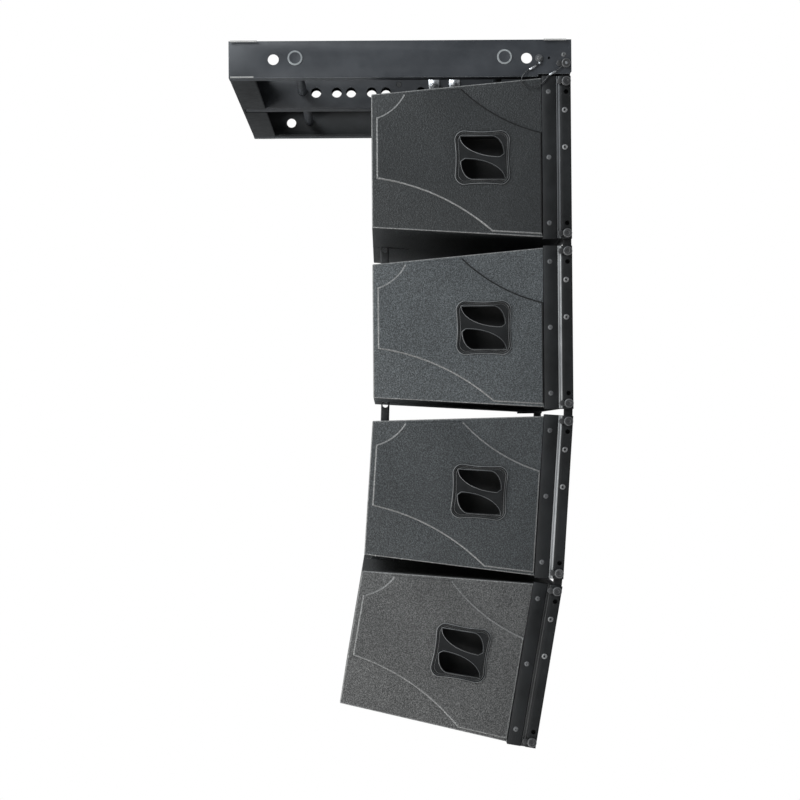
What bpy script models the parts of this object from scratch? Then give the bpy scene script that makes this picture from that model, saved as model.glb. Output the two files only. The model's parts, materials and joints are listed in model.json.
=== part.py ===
"""Line array speaker: a flying frame with its hoist shackle, and four wedge cabinets hung in a J.

The cabinets hang from the frame on a pair of front links each, and a centre strut at the rear sets
the splay between neighbours.  Metres, +Z up, +X is where the speakers face, -Y is the right side.
The origin is the centre of the hoist shackle's pin.
"""
from math import cos, pi, radians, sin, tan

import bmesh
import bpy
from mathutils import Matrix, Vector

ASSEMBLY = "line_array_speaker"
GAP = 0.0003

# Cabinet: side view in its own frame, x from the link pins, z from half way between them.
HALF_WIDTH = 0.500
PAD_THICKNESS = 0.003
PAD_MARGIN = 0.006
WALL = 0.015
REAR_X = -0.4227
STRIP_REAR_X = -0.0525
NOSE_X = -0.012
EDGE_Z = 0.1728
TOP_SLOPE = radians(5.2)
BOTTOM_SLOPE = radians(3.5)
PIN_Z = 0.1648
NOSE_HALF_WIDTH = 0.472
NOSE_WALL = 0.012

# Drivers behind the grille.
BAFFLE_FRONT_X = -0.0575
BAFFLE_THICKNESS = 0.018
WOOFER_Y = 0.305
WOOFER_HOLE_R = 0.1405
WOOFER_RIM_R = 0.1525
HORN_MOUTH = (0.115, 0.140)

# Recessed side handle.
HANDLE_X = -0.183
HANDLE_HALF = (0.060, 0.0587)
HANDLE_CORNER_R = 0.021
CUP_HALF = 0.051
CUP_DEPTH = 0.062

# Steel side frame, links and struts.
STRIP_HALF_HEIGHT = 0.177
FRONT_X = 0.0103
STRIP_INNER_Y = 0.4725
LINK_Y = (0.4815, 0.4905)
LINK_LENGTH = 0.0389
LINK_HALF_WIDTH = 0.0095
PIN_R = 0.0060
PIN_HOLE_R = 0.0067
SPARE_HOLE_Z = 0.1425
PIN_FOOT_Y = 0.4735
KNOB_R = 0.0100
KNOB_Y = (0.5006, 0.5100)
STRUT_X = -0.395
STRUT_WIDTH = 0.020
STRUT_HALF_THICKNESS = 0.004
STRUT_PIN_Z = -0.130
STRUT_LENGTH = 0.128
STRUT_HOLES = (-0.0285, -0.0635, -0.0985)
NOTCH_HALF_WIDTH = 0.012
NOTCH_FRONT_X = -0.338

# Flying frame, measured from the shackle pin.
FRAME_Z = -0.062
FRAME_X = (-0.4862, 0.2568)
BEAM_HALF_HEIGHT = 0.040
BEAM_WIDTH = 0.040
PLATE = 0.006
CROSS_WIDTH = 0.056
CENTRE_HALF_WIDTH = 0.025
CENTRE_BELOW = 0.0385
CENTRE_ABOVE = 0.0415
PICKUP_HOLE_R = 0.012
PICKUP_FIRST_X = -0.3104
PICKUP_STEPS = (0.0490, 0.0342)
PICKUP_COUNT = 9
BEAM_HOLE_X = (-0.3894, 0.1596)
TIE_X = (-0.3423, 0.1117)
TIE_Z = 0.003
TIE_R = 0.0100
TIE_HOLE_R = 0.0108
TIE_DISC_R = 0.0162
LUG_HALF_THICKNESS = 0.009
SHACKLE_PIN_R = 0.0080
SHACKLE_EAR_R = 0.0160
SHACKLE_EAR_WIDTH = 0.0140
SHACKLE_ROD_R = 0.0065
SHACKLE_BOW_R = 0.0250
SHACKLE_BOW_Z = 0.0300

# Lanyard that keeps the right top link pin: from a boss on the right beam, in a loop, to the pin's knob.
LANYARD_R = 0.00125
LANYARD_BOSS = (0.1863, -0.0629)
LANYARD_BOSS_R = 0.0042
LANYARD_BOSS_Y = -0.5070
LANYARD_Y = -0.5042
LANYARD_ROUTE = (
    (0.1862, -0.0715), (0.1842, -0.0755), (0.1800, -0.0790), (0.1725, -0.0832), (0.1645, -0.0880),
    (0.1560, -0.0945), (0.1500, -0.1030), (0.1478, -0.1110), (0.1500, -0.1185), (0.1570, -0.1232),
    (0.1665, -0.1250), (0.1760, -0.1238), (0.1860, -0.1205), (0.1945, -0.1155), (0.2005, -0.1090),
    (0.2055, -0.1020), (0.2120, -0.0970), (0.2200, -0.0935), (0.2270, -0.0885))

# The chain of cabinets.
LINK_PIN = (0.2447, -0.0741)
SPLAYS = (0.0, 0.0, 4.0, 6.0)
FRAME_STRUT_X = -0.1132
FRAME_STRUT_Z = FRAME_Z + 0.018
FRAME_STRUT_LENGTH = 0.126

PARTS = None
CUTTERS = None


def clear_scene():
    for obj in list(bpy.data.objects):
        bpy.data.objects.remove(obj, do_unlink=True)


def new_collection(name):
    collection = bpy.data.collections.new(name)
    bpy.context.scene.collection.children.link(collection)
    return collection


def material(name, colour, roughness, metallic=0.0):
    mat = bpy.data.materials.new(name)
    mat.use_nodes = True
    shader = mat.node_tree.nodes["Principled BSDF"]
    shader.inputs["Base Color"].default_value = (*colour, 1.0)
    shader.inputs["Roughness"].default_value = roughness
    shader.inputs["Metallic"].default_value = metallic
    return mat


def temporary(name, mesh):
    """An object that waits among the cutters until it is used up or placed."""
    obj = bpy.data.objects.new("master_" + name, mesh)
    obj.hide_render = True
    obj.display_type = "WIRE"
    CUTTERS.objects.link(obj)
    return obj


def from_bmesh(name, bm):
    mesh = bpy.data.meshes.new(name)
    bm.to_mesh(mesh)
    bm.free()
    return temporary(name, mesh)


def box(name, low, high):
    """A box between two corners, given in any order."""
    low, high = Vector(low), Vector(high)
    size = Vector(abs(a - b) for a, b in zip(low, high))
    bm = bmesh.new()
    bmesh.ops.create_cube(bm, size=1.0)
    shape = Matrix.Translation((low + high) / 2) @ Matrix.Diagonal((*size, 1))
    bmesh.ops.transform(bm, matrix=shape, verts=bm.verts)
    return from_bmesh(name, bm)


def cylinder(name, radius, start, end, segments=16):
    """A round bar from start to end."""
    start, end = Vector(start), Vector(end)
    along = end - start
    bm = bmesh.new()
    bmesh.ops.create_cone(bm, cap_ends=True, segments=segments, radius1=radius, radius2=radius,
                          depth=along.length)
    turn = Vector((0, 0, 1)).rotation_difference(along).to_matrix().to_4x4()
    bmesh.ops.transform(bm, matrix=Matrix.Translation((start + end) / 2) @ turn, verts=bm.verts)
    return from_bmesh(name, bm)


def curve_to_object(name, curve, matrix):
    """The solid of a curve as a mesh object, its caps welded and matrix applied."""
    source = bpy.data.objects.new(name + "_curve", curve)
    CUTTERS.objects.link(source)
    source.matrix_world = matrix
    bpy.context.view_layer.update()
    evaluated = source.evaluated_get(bpy.context.evaluated_depsgraph_get())
    mesh = bpy.data.meshes.new_from_object(evaluated)
    mesh.transform(source.matrix_world)
    bm = bmesh.new()
    bm.from_mesh(mesh)
    bmesh.ops.remove_doubles(bm, verts=bm.verts, dist=1e-6)
    bmesh.ops.recalc_face_normals(bm, faces=bm.faces)
    bm.to_mesh(mesh)
    bm.free()
    bpy.data.objects.remove(source, do_unlink=True)
    return temporary(name, mesh)


def plate(name, outline, y_from, y_to):
    """A flat plate: an outline in x and z, from one y to the other."""
    curve = bpy.data.curves.new(name, "CURVE")
    curve.dimensions = "2D"
    curve.fill_mode = "BOTH"
    curve.extrude = abs(y_to - y_from) / 2
    spline = curve.splines.new("POLY")
    spline.points.add(len(outline) - 1)
    for point, (x, z) in zip(spline.points, outline):
        point.co = (x, z, 0, 1)
    spline.use_cyclic_u = True
    upright = Matrix.Translation((0, (y_from + y_to) / 2, 0)) @ Matrix.Rotation(pi / 2, 4, "X")
    return curve_to_object(name, curve, upright)


def tube(name, points, radius, bevel_resolution=2):
    """A round bar along a row of points."""
    curve = bpy.data.curves.new(name, "CURVE")
    curve.dimensions = "3D"
    curve.bevel_depth = radius
    curve.bevel_resolution = bevel_resolution
    curve.use_fill_caps = True
    spline = curve.splines.new("POLY")
    spline.points.add(len(points) - 1)
    for point, place in zip(spline.points, points):
        point.co = (*place, 1)
    return curve_to_object(name, curve, Matrix.Identity(4))


def baked(obj):
    """Replaces an object's mesh with its evaluated one and drops its modifiers."""
    bpy.context.view_layer.update()
    mesh = bpy.data.meshes.new_from_object(obj.evaluated_get(bpy.context.evaluated_depsgraph_get()))
    obj.modifiers.clear()
    obj.data = mesh
    return obj


def turned(name, profile, steps, turn):
    """A solid of revolution about Z; the profile runs top to bottom in (radius, z)."""
    mesh = bpy.data.meshes.new(name)
    mesh.from_pydata([(r, 0, z) for r, z in profile], [(i, i + 1) for i in range(len(profile) - 1)], [])
    obj = temporary(name, mesh)
    screw = obj.modifiers.new("turn", "SCREW")
    screw.steps = steps
    screw.render_steps = steps
    screw.use_merge_vertices = True
    screw.merge_threshold = 1e-5
    baked(obj)
    bm = bmesh.new()
    bm.from_mesh(obj.data)
    bmesh.ops.recalc_face_normals(bm, faces=bm.faces)
    bmesh.ops.transform(bm, matrix=turn, verts=bm.verts)
    bm.to_mesh(obj.data)
    bm.free()
    return obj


def combine(target, other, operation):
    modifier = target.modifiers.new(operation.lower(), "BOOLEAN")
    modifier.operation = operation
    modifier.solver = "EXACT"
    modifier.object = other
    baked(target)
    bpy.data.objects.remove(other, do_unlink=True)
    return target


def cut(target, *cutters):
    for cutter in cutters:
        combine(target, cutter, "DIFFERENCE")
    return target


def join(target, *pieces):
    for piece in pieces:
        combine(target, piece, "UNION")
    return target


def arc(centre, radii, start, end, count):
    """Points of an ellipse's arc, angles in degrees from +x towards +z."""
    points = []
    for i in range(count + 1):
        angle = radians(start + (end - start) * i / count)
        points.append((centre[0] + radii[0] * cos(angle), centre[1] + radii[1] * sin(angle)))
    return points


def sweep(start, end, sag, count):
    """A shallow curve from start to end that stands off its chord by sag, to the left if positive."""
    along_x, along_z = end[0] - start[0], end[1] - start[1]
    length = (along_x ** 2 + along_z ** 2) ** 0.5
    points = []
    for i in range(count + 1):
        t = i / count
        rise = 4 * sag * t * (1 - t) / length
        points.append((start[0] + along_x * t - along_z * rise, start[1] + along_z * t + along_x * rise))
    return points


def place(obj, name, mat, parent, location=(0, 0, 0)):
    """A finished part: a new object in the parts collection, sharing the master's mesh."""
    part = bpy.data.objects.new(name, obj.data)
    part.data.materials.clear()
    part.data.materials.append(mat)
    PARTS.objects.link(part)
    part.parent = parent
    part.location = location
    return part


def smooth(obj, angle=30):
    obj.data.shade_smooth()
    obj.data.set_sharp_from_angle(angle=radians(angle))
    return obj


# ---------------------------------------------------------------- cabinet

def top_z(x):
    return EDGE_Z + (x - STRIP_REAR_X) * tan(TOP_SLOPE)


def bottom_z(x):
    return -EDGE_Z - (x - STRIP_REAR_X) * tan(BOTTOM_SLOPE)


def wedge(name, rear, front, inset, half_width):
    """A slice of the cabinet's wedge between two x, its top and bottom moved in by inset."""
    outline = [(rear, bottom_z(rear) + inset), (front, bottom_z(front) + inset),
               (front, top_z(front) - inset), (rear, top_z(rear) - inset)]
    return plate(name, outline, -half_width, half_width)


def pad_outline():
    """The raised field of a side panel, with a concave sweep at three of its corners."""
    rear, front = REAR_X + 0.0105, STRIP_REAR_X - 0.0015
    shoulder, crest, foot = REAR_X + 0.071, REAR_X + 0.195, REAR_X + 0.260
    points = sweep((rear, 0.0886), (shoulder, top_z(shoulder) - PAD_MARGIN), -0.008, 5)
    points += sweep((crest, top_z(crest) - PAD_MARGIN), (front, 0.0546), -0.0135, 7)
    points += sweep((foot, bottom_z(foot) + PAD_MARGIN), (rear, -0.0441), -0.020, 9)
    points.insert(-10, (front, bottom_z(front) + PAD_MARGIN))
    return points


def handle_outline(half, corner_r, pinch, steps):
    """A square with round corners, its sides bowed in by pinch."""
    points = []
    for turn_by in range(4):
        angle = 90 * turn_by
        mid = radians(angle + 45)
        sign = (1 if cos(mid) > 0 else -1, 1 if sin(mid) > 0 else -1)
        centre = (sign[0] * (half[0] - corner_r), sign[1] * (half[1] - corner_r))
        points += arc(centre, (corner_r, corner_r), angle + 4, angle + 86, steps)
        side = radians(angle + 90)
        points.append(((half[0] - pinch) * round(cos(side)), (half[1] - pinch) * round(sin(side))))
    return points


def at_handle(outline):
    return [(HANDLE_X + x, z) for x, z in outline]


def leaf_outline(sign):
    """One finger slot: a leaf with a straight edge, a round shoulder and a swept lower side."""
    right, left = 0.0454, -0.0473
    high, low = 0.0454, 0.0034
    shoulder = arc((0.021, 0.008), (right - 0.021, high - 0.008), 90, 0, 3)
    swept = arc((0.0384, high), (0.0384 - left, high - low), 270, 186, 4)
    return [(sign * x, sign * z) for x, z in shoulder + swept]


def enclosure():
    skin = HALF_WIDTH - PAD_THICKNESS
    body = wedge("enclosure", REAR_X, NOSE_X, 0.0, skin)
    for side in (-1, 1):
        pad = plate("pad", pad_outline(), side * (skin - 0.0005), side * HALF_WIDTH)
        join(body, pad)
        recess = box("recess", (STRIP_REAR_X - 0.001, side * NOSE_HALF_WIDTH, -0.3), (0.1, side * 0.6, 0.3))
        cut(body, recess)
    baffle_rear = BAFFLE_FRONT_X - BAFFLE_THICKNESS
    cut(body, wedge("chamber", REAR_X + WALL, baffle_rear, WALL, HALF_WIDTH - WALL - PAD_THICKNESS))
    rail = wedge("rail", REAR_X + 0.001, NOTCH_FRONT_X + WALL, 0.001, NOTCH_HALF_WIDTH + WALL)
    join(body, rail)
    notch = box("notch", (REAR_X - 0.05, -NOTCH_HALF_WIDTH, -0.3), (NOTCH_FRONT_X, NOTCH_HALF_WIDTH, 0.3))
    cut(body, notch)
    cut(body, wedge("mouth", BAFFLE_FRONT_X, 0.05, WALL, NOSE_HALF_WIDTH - NOSE_WALL))
    for side in (-1, 1):
        hole_from = (baffle_rear - 0.01, side * WOOFER_Y, 0)
        hole_to = (BAFFLE_FRONT_X + 0.01, side * WOOFER_Y, 0)
        cut(body, cylinder("woofer_hole", WOOFER_HOLE_R, hole_from, hole_to, segments=24))
        hole = (CUP_HALF + 0.0008, CUP_HALF + 0.0008)
        window = at_handle(handle_outline(hole, 0.016, 0.0, 2))
        cut(body, plate("handle_hole", window, side * 0.45, side * 0.55))
    mouth_y, mouth_z = HORN_MOUTH[0] + 0.003, HORN_MOUTH[1] + 0.003
    hole_low = (baffle_rear - 0.01, -mouth_y, -mouth_z)
    hole_high = (BAFFLE_FRONT_X + 0.01, mouth_y, mouth_z)
    return cut(body, box("horn_hole", hole_low, hole_high))


def handle(side):
    """Moulded handle: a cup let into the side wall behind a face plate with two finger slots."""
    face = HALF_WIDTH + GAP
    body = plate("handle", at_handle(handle_outline(HANDLE_HALF, HANDLE_CORNER_R, 0.0022, 2)),
                 side * face, side * (face + 0.0024))
    cup = at_handle(handle_outline((CUP_HALF, CUP_HALF), 0.016, 0.0, 2))
    join(body, plate("cup", cup, side * (face + 0.001), side * (face - CUP_DEPTH)))
    hollow_half = CUP_HALF - 0.003
    hollow = at_handle(handle_outline((hollow_half, hollow_half), 0.013, 0.0, 2))
    cut(body, plate("hollow", hollow, side * (face - 0.004), side * (face - CUP_DEPTH + 0.003)))
    for sign in (-1, 1):
        cut(body, plate("slot", at_handle(leaf_outline(sign)), side * (face - 0.008), side * (face + 0.01)))
    return body


def side_frame(side):
    """Steel side rail: wide rear plate, a groove, and a front rail whose ends are clevises."""
    body = box("side_frame", (STRIP_REAR_X, side * STRIP_INNER_Y, -STRIP_HALF_HEIGHT),
               (FRONT_X, side * HALF_WIDTH, STRIP_HALF_HEIGHT))
    groove = box("groove", (-0.0225, side * 0.4935, -0.3), (-0.0130, side * 0.6, 0.3))
    relief = box("relief", (-0.0135, side * 0.4985, -0.3), (0.1, side * 0.6, 0.3))
    cut(body, groove, relief)
    for sign in (-1, 1):
        slot_low = (-0.0165, side * (LINK_Y[0] - 0.001), sign * (PIN_Z - 0.014))
        slot_high = (0.1, side * (LINK_Y[1] + 0.001), sign * 0.3)
        cut(body, box("clevis_slot", slot_low, slot_high))
        for radius, z, inner in ((PIN_HOLE_R, PIN_Z, 0.45), (0.0052, SPARE_HOLE_Z, 0.486)):
            start, end = (0, side * inner, sign * z), (0, side * 0.55, sign * z)
            cut(body, cylinder("pin_hole", radius, start, end, segments=12))
    return body


def grille():
    """Steel grille: a shallow tray that closes the front."""
    half_y = STRIP_INNER_Y - 0.0010
    front = 0.0040
    body = box("grille", (NOSE_X + GAP, -half_y, -0.1742), (front, half_y, 0.1752))
    hollow = box("hollow", (-0.1, -half_y + 0.002, -0.1722), (front - 0.002, half_y - 0.002, 0.1732))
    return cut(body, hollow)


def woofer():
    """Twelve inch driver: dust cap, cone, surround, rim, basket and magnet in one turned body."""
    front = GAP
    profile = [(0.0, -0.016), (0.040, -0.028), (0.122, -0.006), (0.131, front + 0.004),
               (WOOFER_RIM_R, front + 0.004), (WOOFER_RIM_R, front),
               (0.1380, front), (0.1380, -0.018), (0.085, -0.080), (0.085, -0.130), (0.0, -0.130)]
    return turned("woofer", profile, 16, Matrix.Rotation(pi / 2, 4, "Y"))


def horn():
    """Waveguide with its compression driver behind it, and a flange on the baffle."""
    y, z = HORN_MOUTH
    front = BAFFLE_FRONT_X + GAP
    body = box("horn", (front, -y - 0.018, -z - 0.012), (front + 0.005, y + 0.018, z + 0.012))
    join(body, taper("horn_body", front + 0.002, (y, z), front - 0.100, (0.040, 0.070)))
    join(body, cylinder("driver", 0.055, (front - 0.095, 0, 0), (front - 0.165, 0, 0), segments=20))
    mouth = taper("horn_mouth", front + 0.010, (y - 0.004, z - 0.010), front - 0.070, (0.012, 0.080))
    return cut(body, mouth)


def taper(name, x_from, half_from, x_to, half_to):
    """A four sided block whose section changes evenly between two x."""
    bm = bmesh.new()
    bmesh.ops.create_cube(bm, size=2.0)
    for vert in bm.verts:
        near = vert.co.x > 0
        half = half_from if near else half_to
        vert.co = (x_from if near else x_to, vert.co.y * half[0], vert.co.z * half[1])
    return from_bmesh(name, bm)


# ---------------------------------------------------------------- links and struts

def locking_pin(side, z):
    """A quick-release pin through a clevis, with its round knob outside."""
    shank_y, knob_y = PIN_FOOT_Y, KNOB_Y[0]
    body = cylinder("pin", PIN_R, (0, side * shank_y, z), (0, side * (knob_y + 0.001), z), segments=10)
    knob = cylinder("knob", KNOB_R, (0, side * knob_y, z), (0, side * KNOB_Y[1], z), segments=12)
    return join(body, knob)


def front_link(side):
    """A dog-bone link with a locking pin at each end."""
    half = LINK_LENGTH / 2
    outline = arc((0, half), (LINK_HALF_WIDTH, LINK_HALF_WIDTH), 0, 180, 5)
    outline += arc((0, -half), (LINK_HALF_WIDTH, LINK_HALF_WIDTH), 180, 360, 5)
    body = plate("front_link", outline, side * LINK_Y[0], side * LINK_Y[1])
    return join(body, locking_pin(side, -half), locking_pin(side, half))


def strut(length, pin_half):
    """Rear strut: a flat bar hanging from a cross pin, with a row of splay holes."""
    half = STRUT_WIDTH / 2
    outline = arc((0, 0), (half, half), 0, 180, 4)
    outline += arc((0, -length + half), (half, half), 180, 360, 4)
    body = plate("strut", outline, -STRUT_HALF_THICKNESS, STRUT_HALF_THICKNESS)
    join(body, cylinder("strut_pin", PIN_R, (0, -pin_half, 0), (0, pin_half, 0), segments=10))
    for z in STRUT_HOLES:
        cut(body, cylinder("splay_hole", 0.0065, (0, -0.02, z), (0, 0.02, z), segments=8))
    return body


# ---------------------------------------------------------------- flying frame

def side_beam(side):
    """C-channel side beam, open inward, with its end plates, pin holes and cut-back front foot."""
    z_low, z_high = FRAME_Z - BEAM_HALF_HEIGHT, FRAME_Z + BEAM_HALF_HEIGHT
    inner = HALF_WIDTH - BEAM_WIDTH
    body = box("side_beam", (FRAME_X[0], side * inner, z_low), (FRAME_X[1], side * HALF_WIDTH, z_high))
    cut(body, box("channel", (FRAME_X[0] + PLATE, side * (inner - 0.02), z_low + PLATE),
                  (FRAME_X[1] - PLATE, side * (HALF_WIDTH - PLATE), z_high - PLATE)))
    cut(body, box("foot", (LINK_PIN[0] + STRIP_REAR_X - 0.008, side * 0.4, z_low - 0.02),
                  (FRAME_X[1] + 0.02, side * 0.6, z_low + 0.0055)))
    link_way = (LINK_PIN[0] - 0.016, side * (LINK_Y[0] - 0.012), z_low - 0.02)
    cut(body, box("link_way", link_way, (FRAME_X[1] + 0.02, side * (HALF_WIDTH - PLATE), FRAME_Z + 0.002)))
    holes = [(x, FRAME_Z, PICKUP_HOLE_R) for x in BEAM_HOLE_X]
    holes += [(x, FRAME_Z + TIE_Z, TIE_HOLE_R) for x in TIE_X]
    holes.append((LINK_PIN[0], LINK_PIN[1], PIN_HOLE_R))
    for x, z, radius in holes:
        cut(body, cylinder("hole", radius, (x, side * 0.48, z), (x, side * 0.52, z), segments=16))
    corner = [(FRAME_X[1] - 0.010, z_low), (FRAME_X[1] + 0.01, z_low), (FRAME_X[1] + 0.01, z_low + 0.020)]
    cut(body, plate("corner", corner, side * 0.4, side * 0.6))
    if side < 0:
        x, z = LANYARD_BOSS
        inside_web = 0.002 - HALF_WIDTH
        boss = cylinder("boss", LANYARD_BOSS_R, (x, inside_web, z), (x, LANYARD_BOSS_Y, z), segments=10)
        join(body, boss)
    return body


def cross_channel(x_web, direction, z_low):
    """Cross member between the beams: a web with two flanges, notched round the centre bar."""
    half_y = HALF_WIDTH - BEAM_WIDTH - GAP
    z_high = FRAME_Z + BEAM_HALF_HEIGHT
    far = x_web + direction * CROSS_WIDTH
    body = box("cross_channel", (x_web, -half_y, z_low), (far, half_y, z_high))
    cut(body, box("inside", (x_web + direction * PLATE, -0.6, z_low + PLATE),
                  (x_web + direction * 0.1, 0.6, z_high - PLATE)))
    bar_way = CENTRE_HALF_WIDTH + 0.004
    return cut(body, box("bar_way", (x_web + direction * PLATE, -bar_way, z_low - 0.01),
                         (x_web + direction * 0.1, bar_way, z_high + 0.01)))


def pickup_holes():
    """The x of the hoist holes along the centre bar, in alternating steps, clear of the rear strut."""
    places = [PICKUP_FIRST_X]
    for i in range(PICKUP_COUNT - 1):
        places.append(places[-1] + PICKUP_STEPS[i % 2])
    return [x for x in places if abs(x - FRAME_STRUT_X) > STRUT_WIDTH]


def centre_bar():
    """Box-section centre bar with its hoist holes, the shackle lug and the rear strut's slot."""
    x_rear, x_front = FRAME_X[0] + PLATE + GAP, FRAME_X[1] - PLATE - GAP
    low, high = FRAME_Z - CENTRE_BELOW, FRAME_Z + CENTRE_ABOVE
    body = box("centre_bar", (x_rear, -CENTRE_HALF_WIDTH, low), (x_front, CENTRE_HALF_WIDTH, high))
    inner = CENTRE_HALF_WIDTH - 0.005
    cut(body, box("inside", (x_rear - 0.1, -inner, low + 0.005), (x_front + 0.1, inner, high - 0.005)))
    lug = arc((0, 0), (0.026, 0.026), 0, 180, 8) + [(-0.030, high - 0.001), (0.030, high - 0.001)]
    lug_plate = plate("lug", lug, -LUG_HALF_THICKNESS, LUG_HALF_THICKNESS)
    lug_plate.data.transform(Matrix.Rotation(pi / 2, 4, "Z"))
    join(body, lug_plate)
    cut(body, cylinder("lug_hole", SHACKLE_PIN_R + 0.001, (-0.05, 0, 0), (0.05, 0, 0), segments=16))
    holes = [(x, FRAME_Z, PICKUP_HOLE_R) for x in pickup_holes()]
    holes += [(x, FRAME_Z + TIE_Z, TIE_HOLE_R) for x in TIE_X]
    holes.append((FRAME_STRUT_X, FRAME_STRUT_Z, PIN_HOLE_R))
    for x, z, radius in holes:
        cut(body, cylinder("hole", radius, (x, -0.05, z), (x, 0.05, z), segments=10))
    slot_low = (FRAME_STRUT_X - 0.018, -0.0055, low - 0.01)
    slot_high = (FRAME_STRUT_X + 0.014, 0.0055, low + 0.01)
    return cut(body, box("strut_slot", slot_low, slot_high))


def tie_tube():
    """Round tie bar across the frame, headed by a flat disc on each side beam."""
    shank, disc = HALF_WIDTH + GAP, HALF_WIDTH + 0.0020
    half = [(0.0, disc), (TIE_DISC_R, disc), (TIE_DISC_R, shank), (TIE_R, shank)]
    profile = half + [(r, -y) for r, y in reversed(half)]
    return turned("tie_tube", profile, 16, Matrix.Rotation(pi / 2, 4, "X"))


def shackle_bow():
    """Bow shackle: two eyes on the pin and a round bow above them."""
    ear_in = LUG_HALF_THICKNESS + 0.0006
    ear_out = ear_in + SHACKLE_EAR_WIDTH
    middle = (ear_in + ear_out) / 2
    bow = arc((0, SHACKLE_BOW_Z), (SHACKLE_BOW_R, SHACKLE_BOW_R), -15, 195, 10)
    foot = [(middle, 0, 0.006), (middle, 0, 0.016)]
    path = foot + [(x, 0, z) for x, z in bow] + [(-x, y, z) for x, y, z in reversed(foot)]
    body = tube("shackle_bow", path, SHACKLE_ROD_R)
    for side in (-1, 1):
        join(body, cylinder("ear", SHACKLE_EAR_R, (side * ear_in, 0, 0), (side * ear_out, 0, 0), segments=18))
    return cut(body, cylinder("eye", SHACKLE_PIN_R + 0.0008, (-0.06, 0, 0), (0.06, 0, 0), segments=16))


def shackle_pin():
    """Shackle pin with a flat head at one end and a hexagon nut at the other."""
    outside = LUG_HALF_THICKNESS + SHACKLE_EAR_WIDTH + 0.0010
    foot, top = (-outside - 0.014, 0, 0), (outside + 0.002, 0, 0)
    body = cylinder("shackle_pin", SHACKLE_PIN_R, foot, top, segments=16)
    join(body, cylinder("head", 0.0128, (outside, 0, 0), (outside + 0.007, 0, 0), segments=16))
    return join(body, cylinder("nut", 0.0128, (-outside, 0, 0), (-outside - 0.010, 0, 0), segments=6))


def smooth_route(points, step):
    """Points about step apart on a smooth curve through the given ones."""
    fine = 12
    guide = [2 * points[0] - points[1], *points, 2 * points[-1] - points[-2]]
    dense = []
    for p, q, r, v in zip(guide, guide[1:], guide[2:], guide[3:]):
        for i in range(fine):
            t = i / fine
            dense.append(q + 0.5 * t * (r - p + t * (2 * p - 5 * q + 4 * r - v + t * (3 * (q - r) + v - p))))
    kept = [points[0]]
    for point in dense:
        if (point - kept[-1]).length >= step:
            kept.append(point)
    kept[-1] = points[-1]
    return kept


def lanyard():
    """The lanyard's wire: down from the boss, round in a loop and up to the knob of the top link pin."""
    boss_x, boss_z = LANYARD_BOSS
    reach, lean = KNOB_R + GAP, radians(218)
    start = (boss_x, boss_z - LANYARD_BOSS_R - GAP)
    end = (LINK_PIN[0] + reach * cos(lean), LINK_PIN[1] + reach * sin(lean))
    points = [Vector((x, LANYARD_Y, z)) for x, z in (start, *LANYARD_ROUTE, end)]
    return tube("lanyard", smooth_route(points, 5 * LANYARD_R), LANYARD_R)


# ---------------------------------------------------------------- assembly

def pivot(name, location, angle):
    """An empty on a joint's axis, tilted nose down by angle degrees."""
    empty = bpy.data.objects.new(name, None)
    empty.location = location
    empty.rotation_euler = (0, radians(angle), 0)
    PARTS.objects.link(empty)
    return empty


def along(start, angle, x, z):
    """The point at (x, z) in a frame at start that is tilted nose down by angle degrees."""
    tilt = Matrix.Rotation(radians(angle), 3, "Y")
    return Vector(start) + tilt @ Vector((x, 0, z))


def build_frame(finish):
    """The flying frame, which hangs still from the hoist."""
    for side, word in ((-1, "right"), (1, "left")):
        place(side_beam(side), "frame_side_beam_" + word, finish["steel"], None)
    z_rear = FRAME_Z - BEAM_HALF_HEIGHT
    place(cross_channel(FRAME_X[0], 1, z_rear), "frame_rear_channel", finish["steel"], None)
    place(cross_channel(FRAME_X[1], -1, z_rear + 0.008), "frame_front_channel", finish["steel"], None)
    place(centre_bar(), "frame_centre_bar", finish["steel"], None)
    tie = smooth(tie_tube())
    for x, word in zip(TIE_X, ("rear", "front")):
        place(tie, "frame_tie_tube_" + word, finish["steel"], None, (x, 0, FRAME_Z + TIE_Z))
    place(smooth(shackle_bow()), "shackle_bow", finish["zinc"], None)
    place(smooth(shackle_pin()), "shackle_pin", finish["zinc"], None)
    place(smooth(lanyard(), 60), "pin_lanyard", finish["steel"], None)


def build_cabinet(number, masters, finish, start, angle):
    """One cabinet, hung from its top link pins at start."""
    name = f"cab{number}_"
    hang = pivot(name + "pivot", start, angle)
    middle = Vector((0, 0, -PIN_Z))
    place(masters["enclosure"], name + "enclosure", finish["wood"], hang, middle)
    place(masters["grille"], name + "grille", finish["grille"], hang, middle)
    place(masters["horn"], name + "hf_horn", finish["plastic"], hang, middle)
    for side, word in ((-1, "right"), (1, "left")):
        place(masters["handle_" + word], name + "handle_" + word, finish["plastic"], hang, middle)
        place(masters["side_frame_" + word], name + "side_frame_" + word, finish["steel"], hang, middle)
        seat = middle + Vector((BAFFLE_FRONT_X, side * WOOFER_Y, 0))
        place(masters["woofer"], name + "woofer_" + word, finish["cone"], hang, seat)
        if number == len(SPLAYS):
            foot = middle + Vector((0, 0, -PIN_Z))
            place(masters["spare_pin_" + word], name + "stowed_pin_" + word, finish["steel"], hang, foot)


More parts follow.
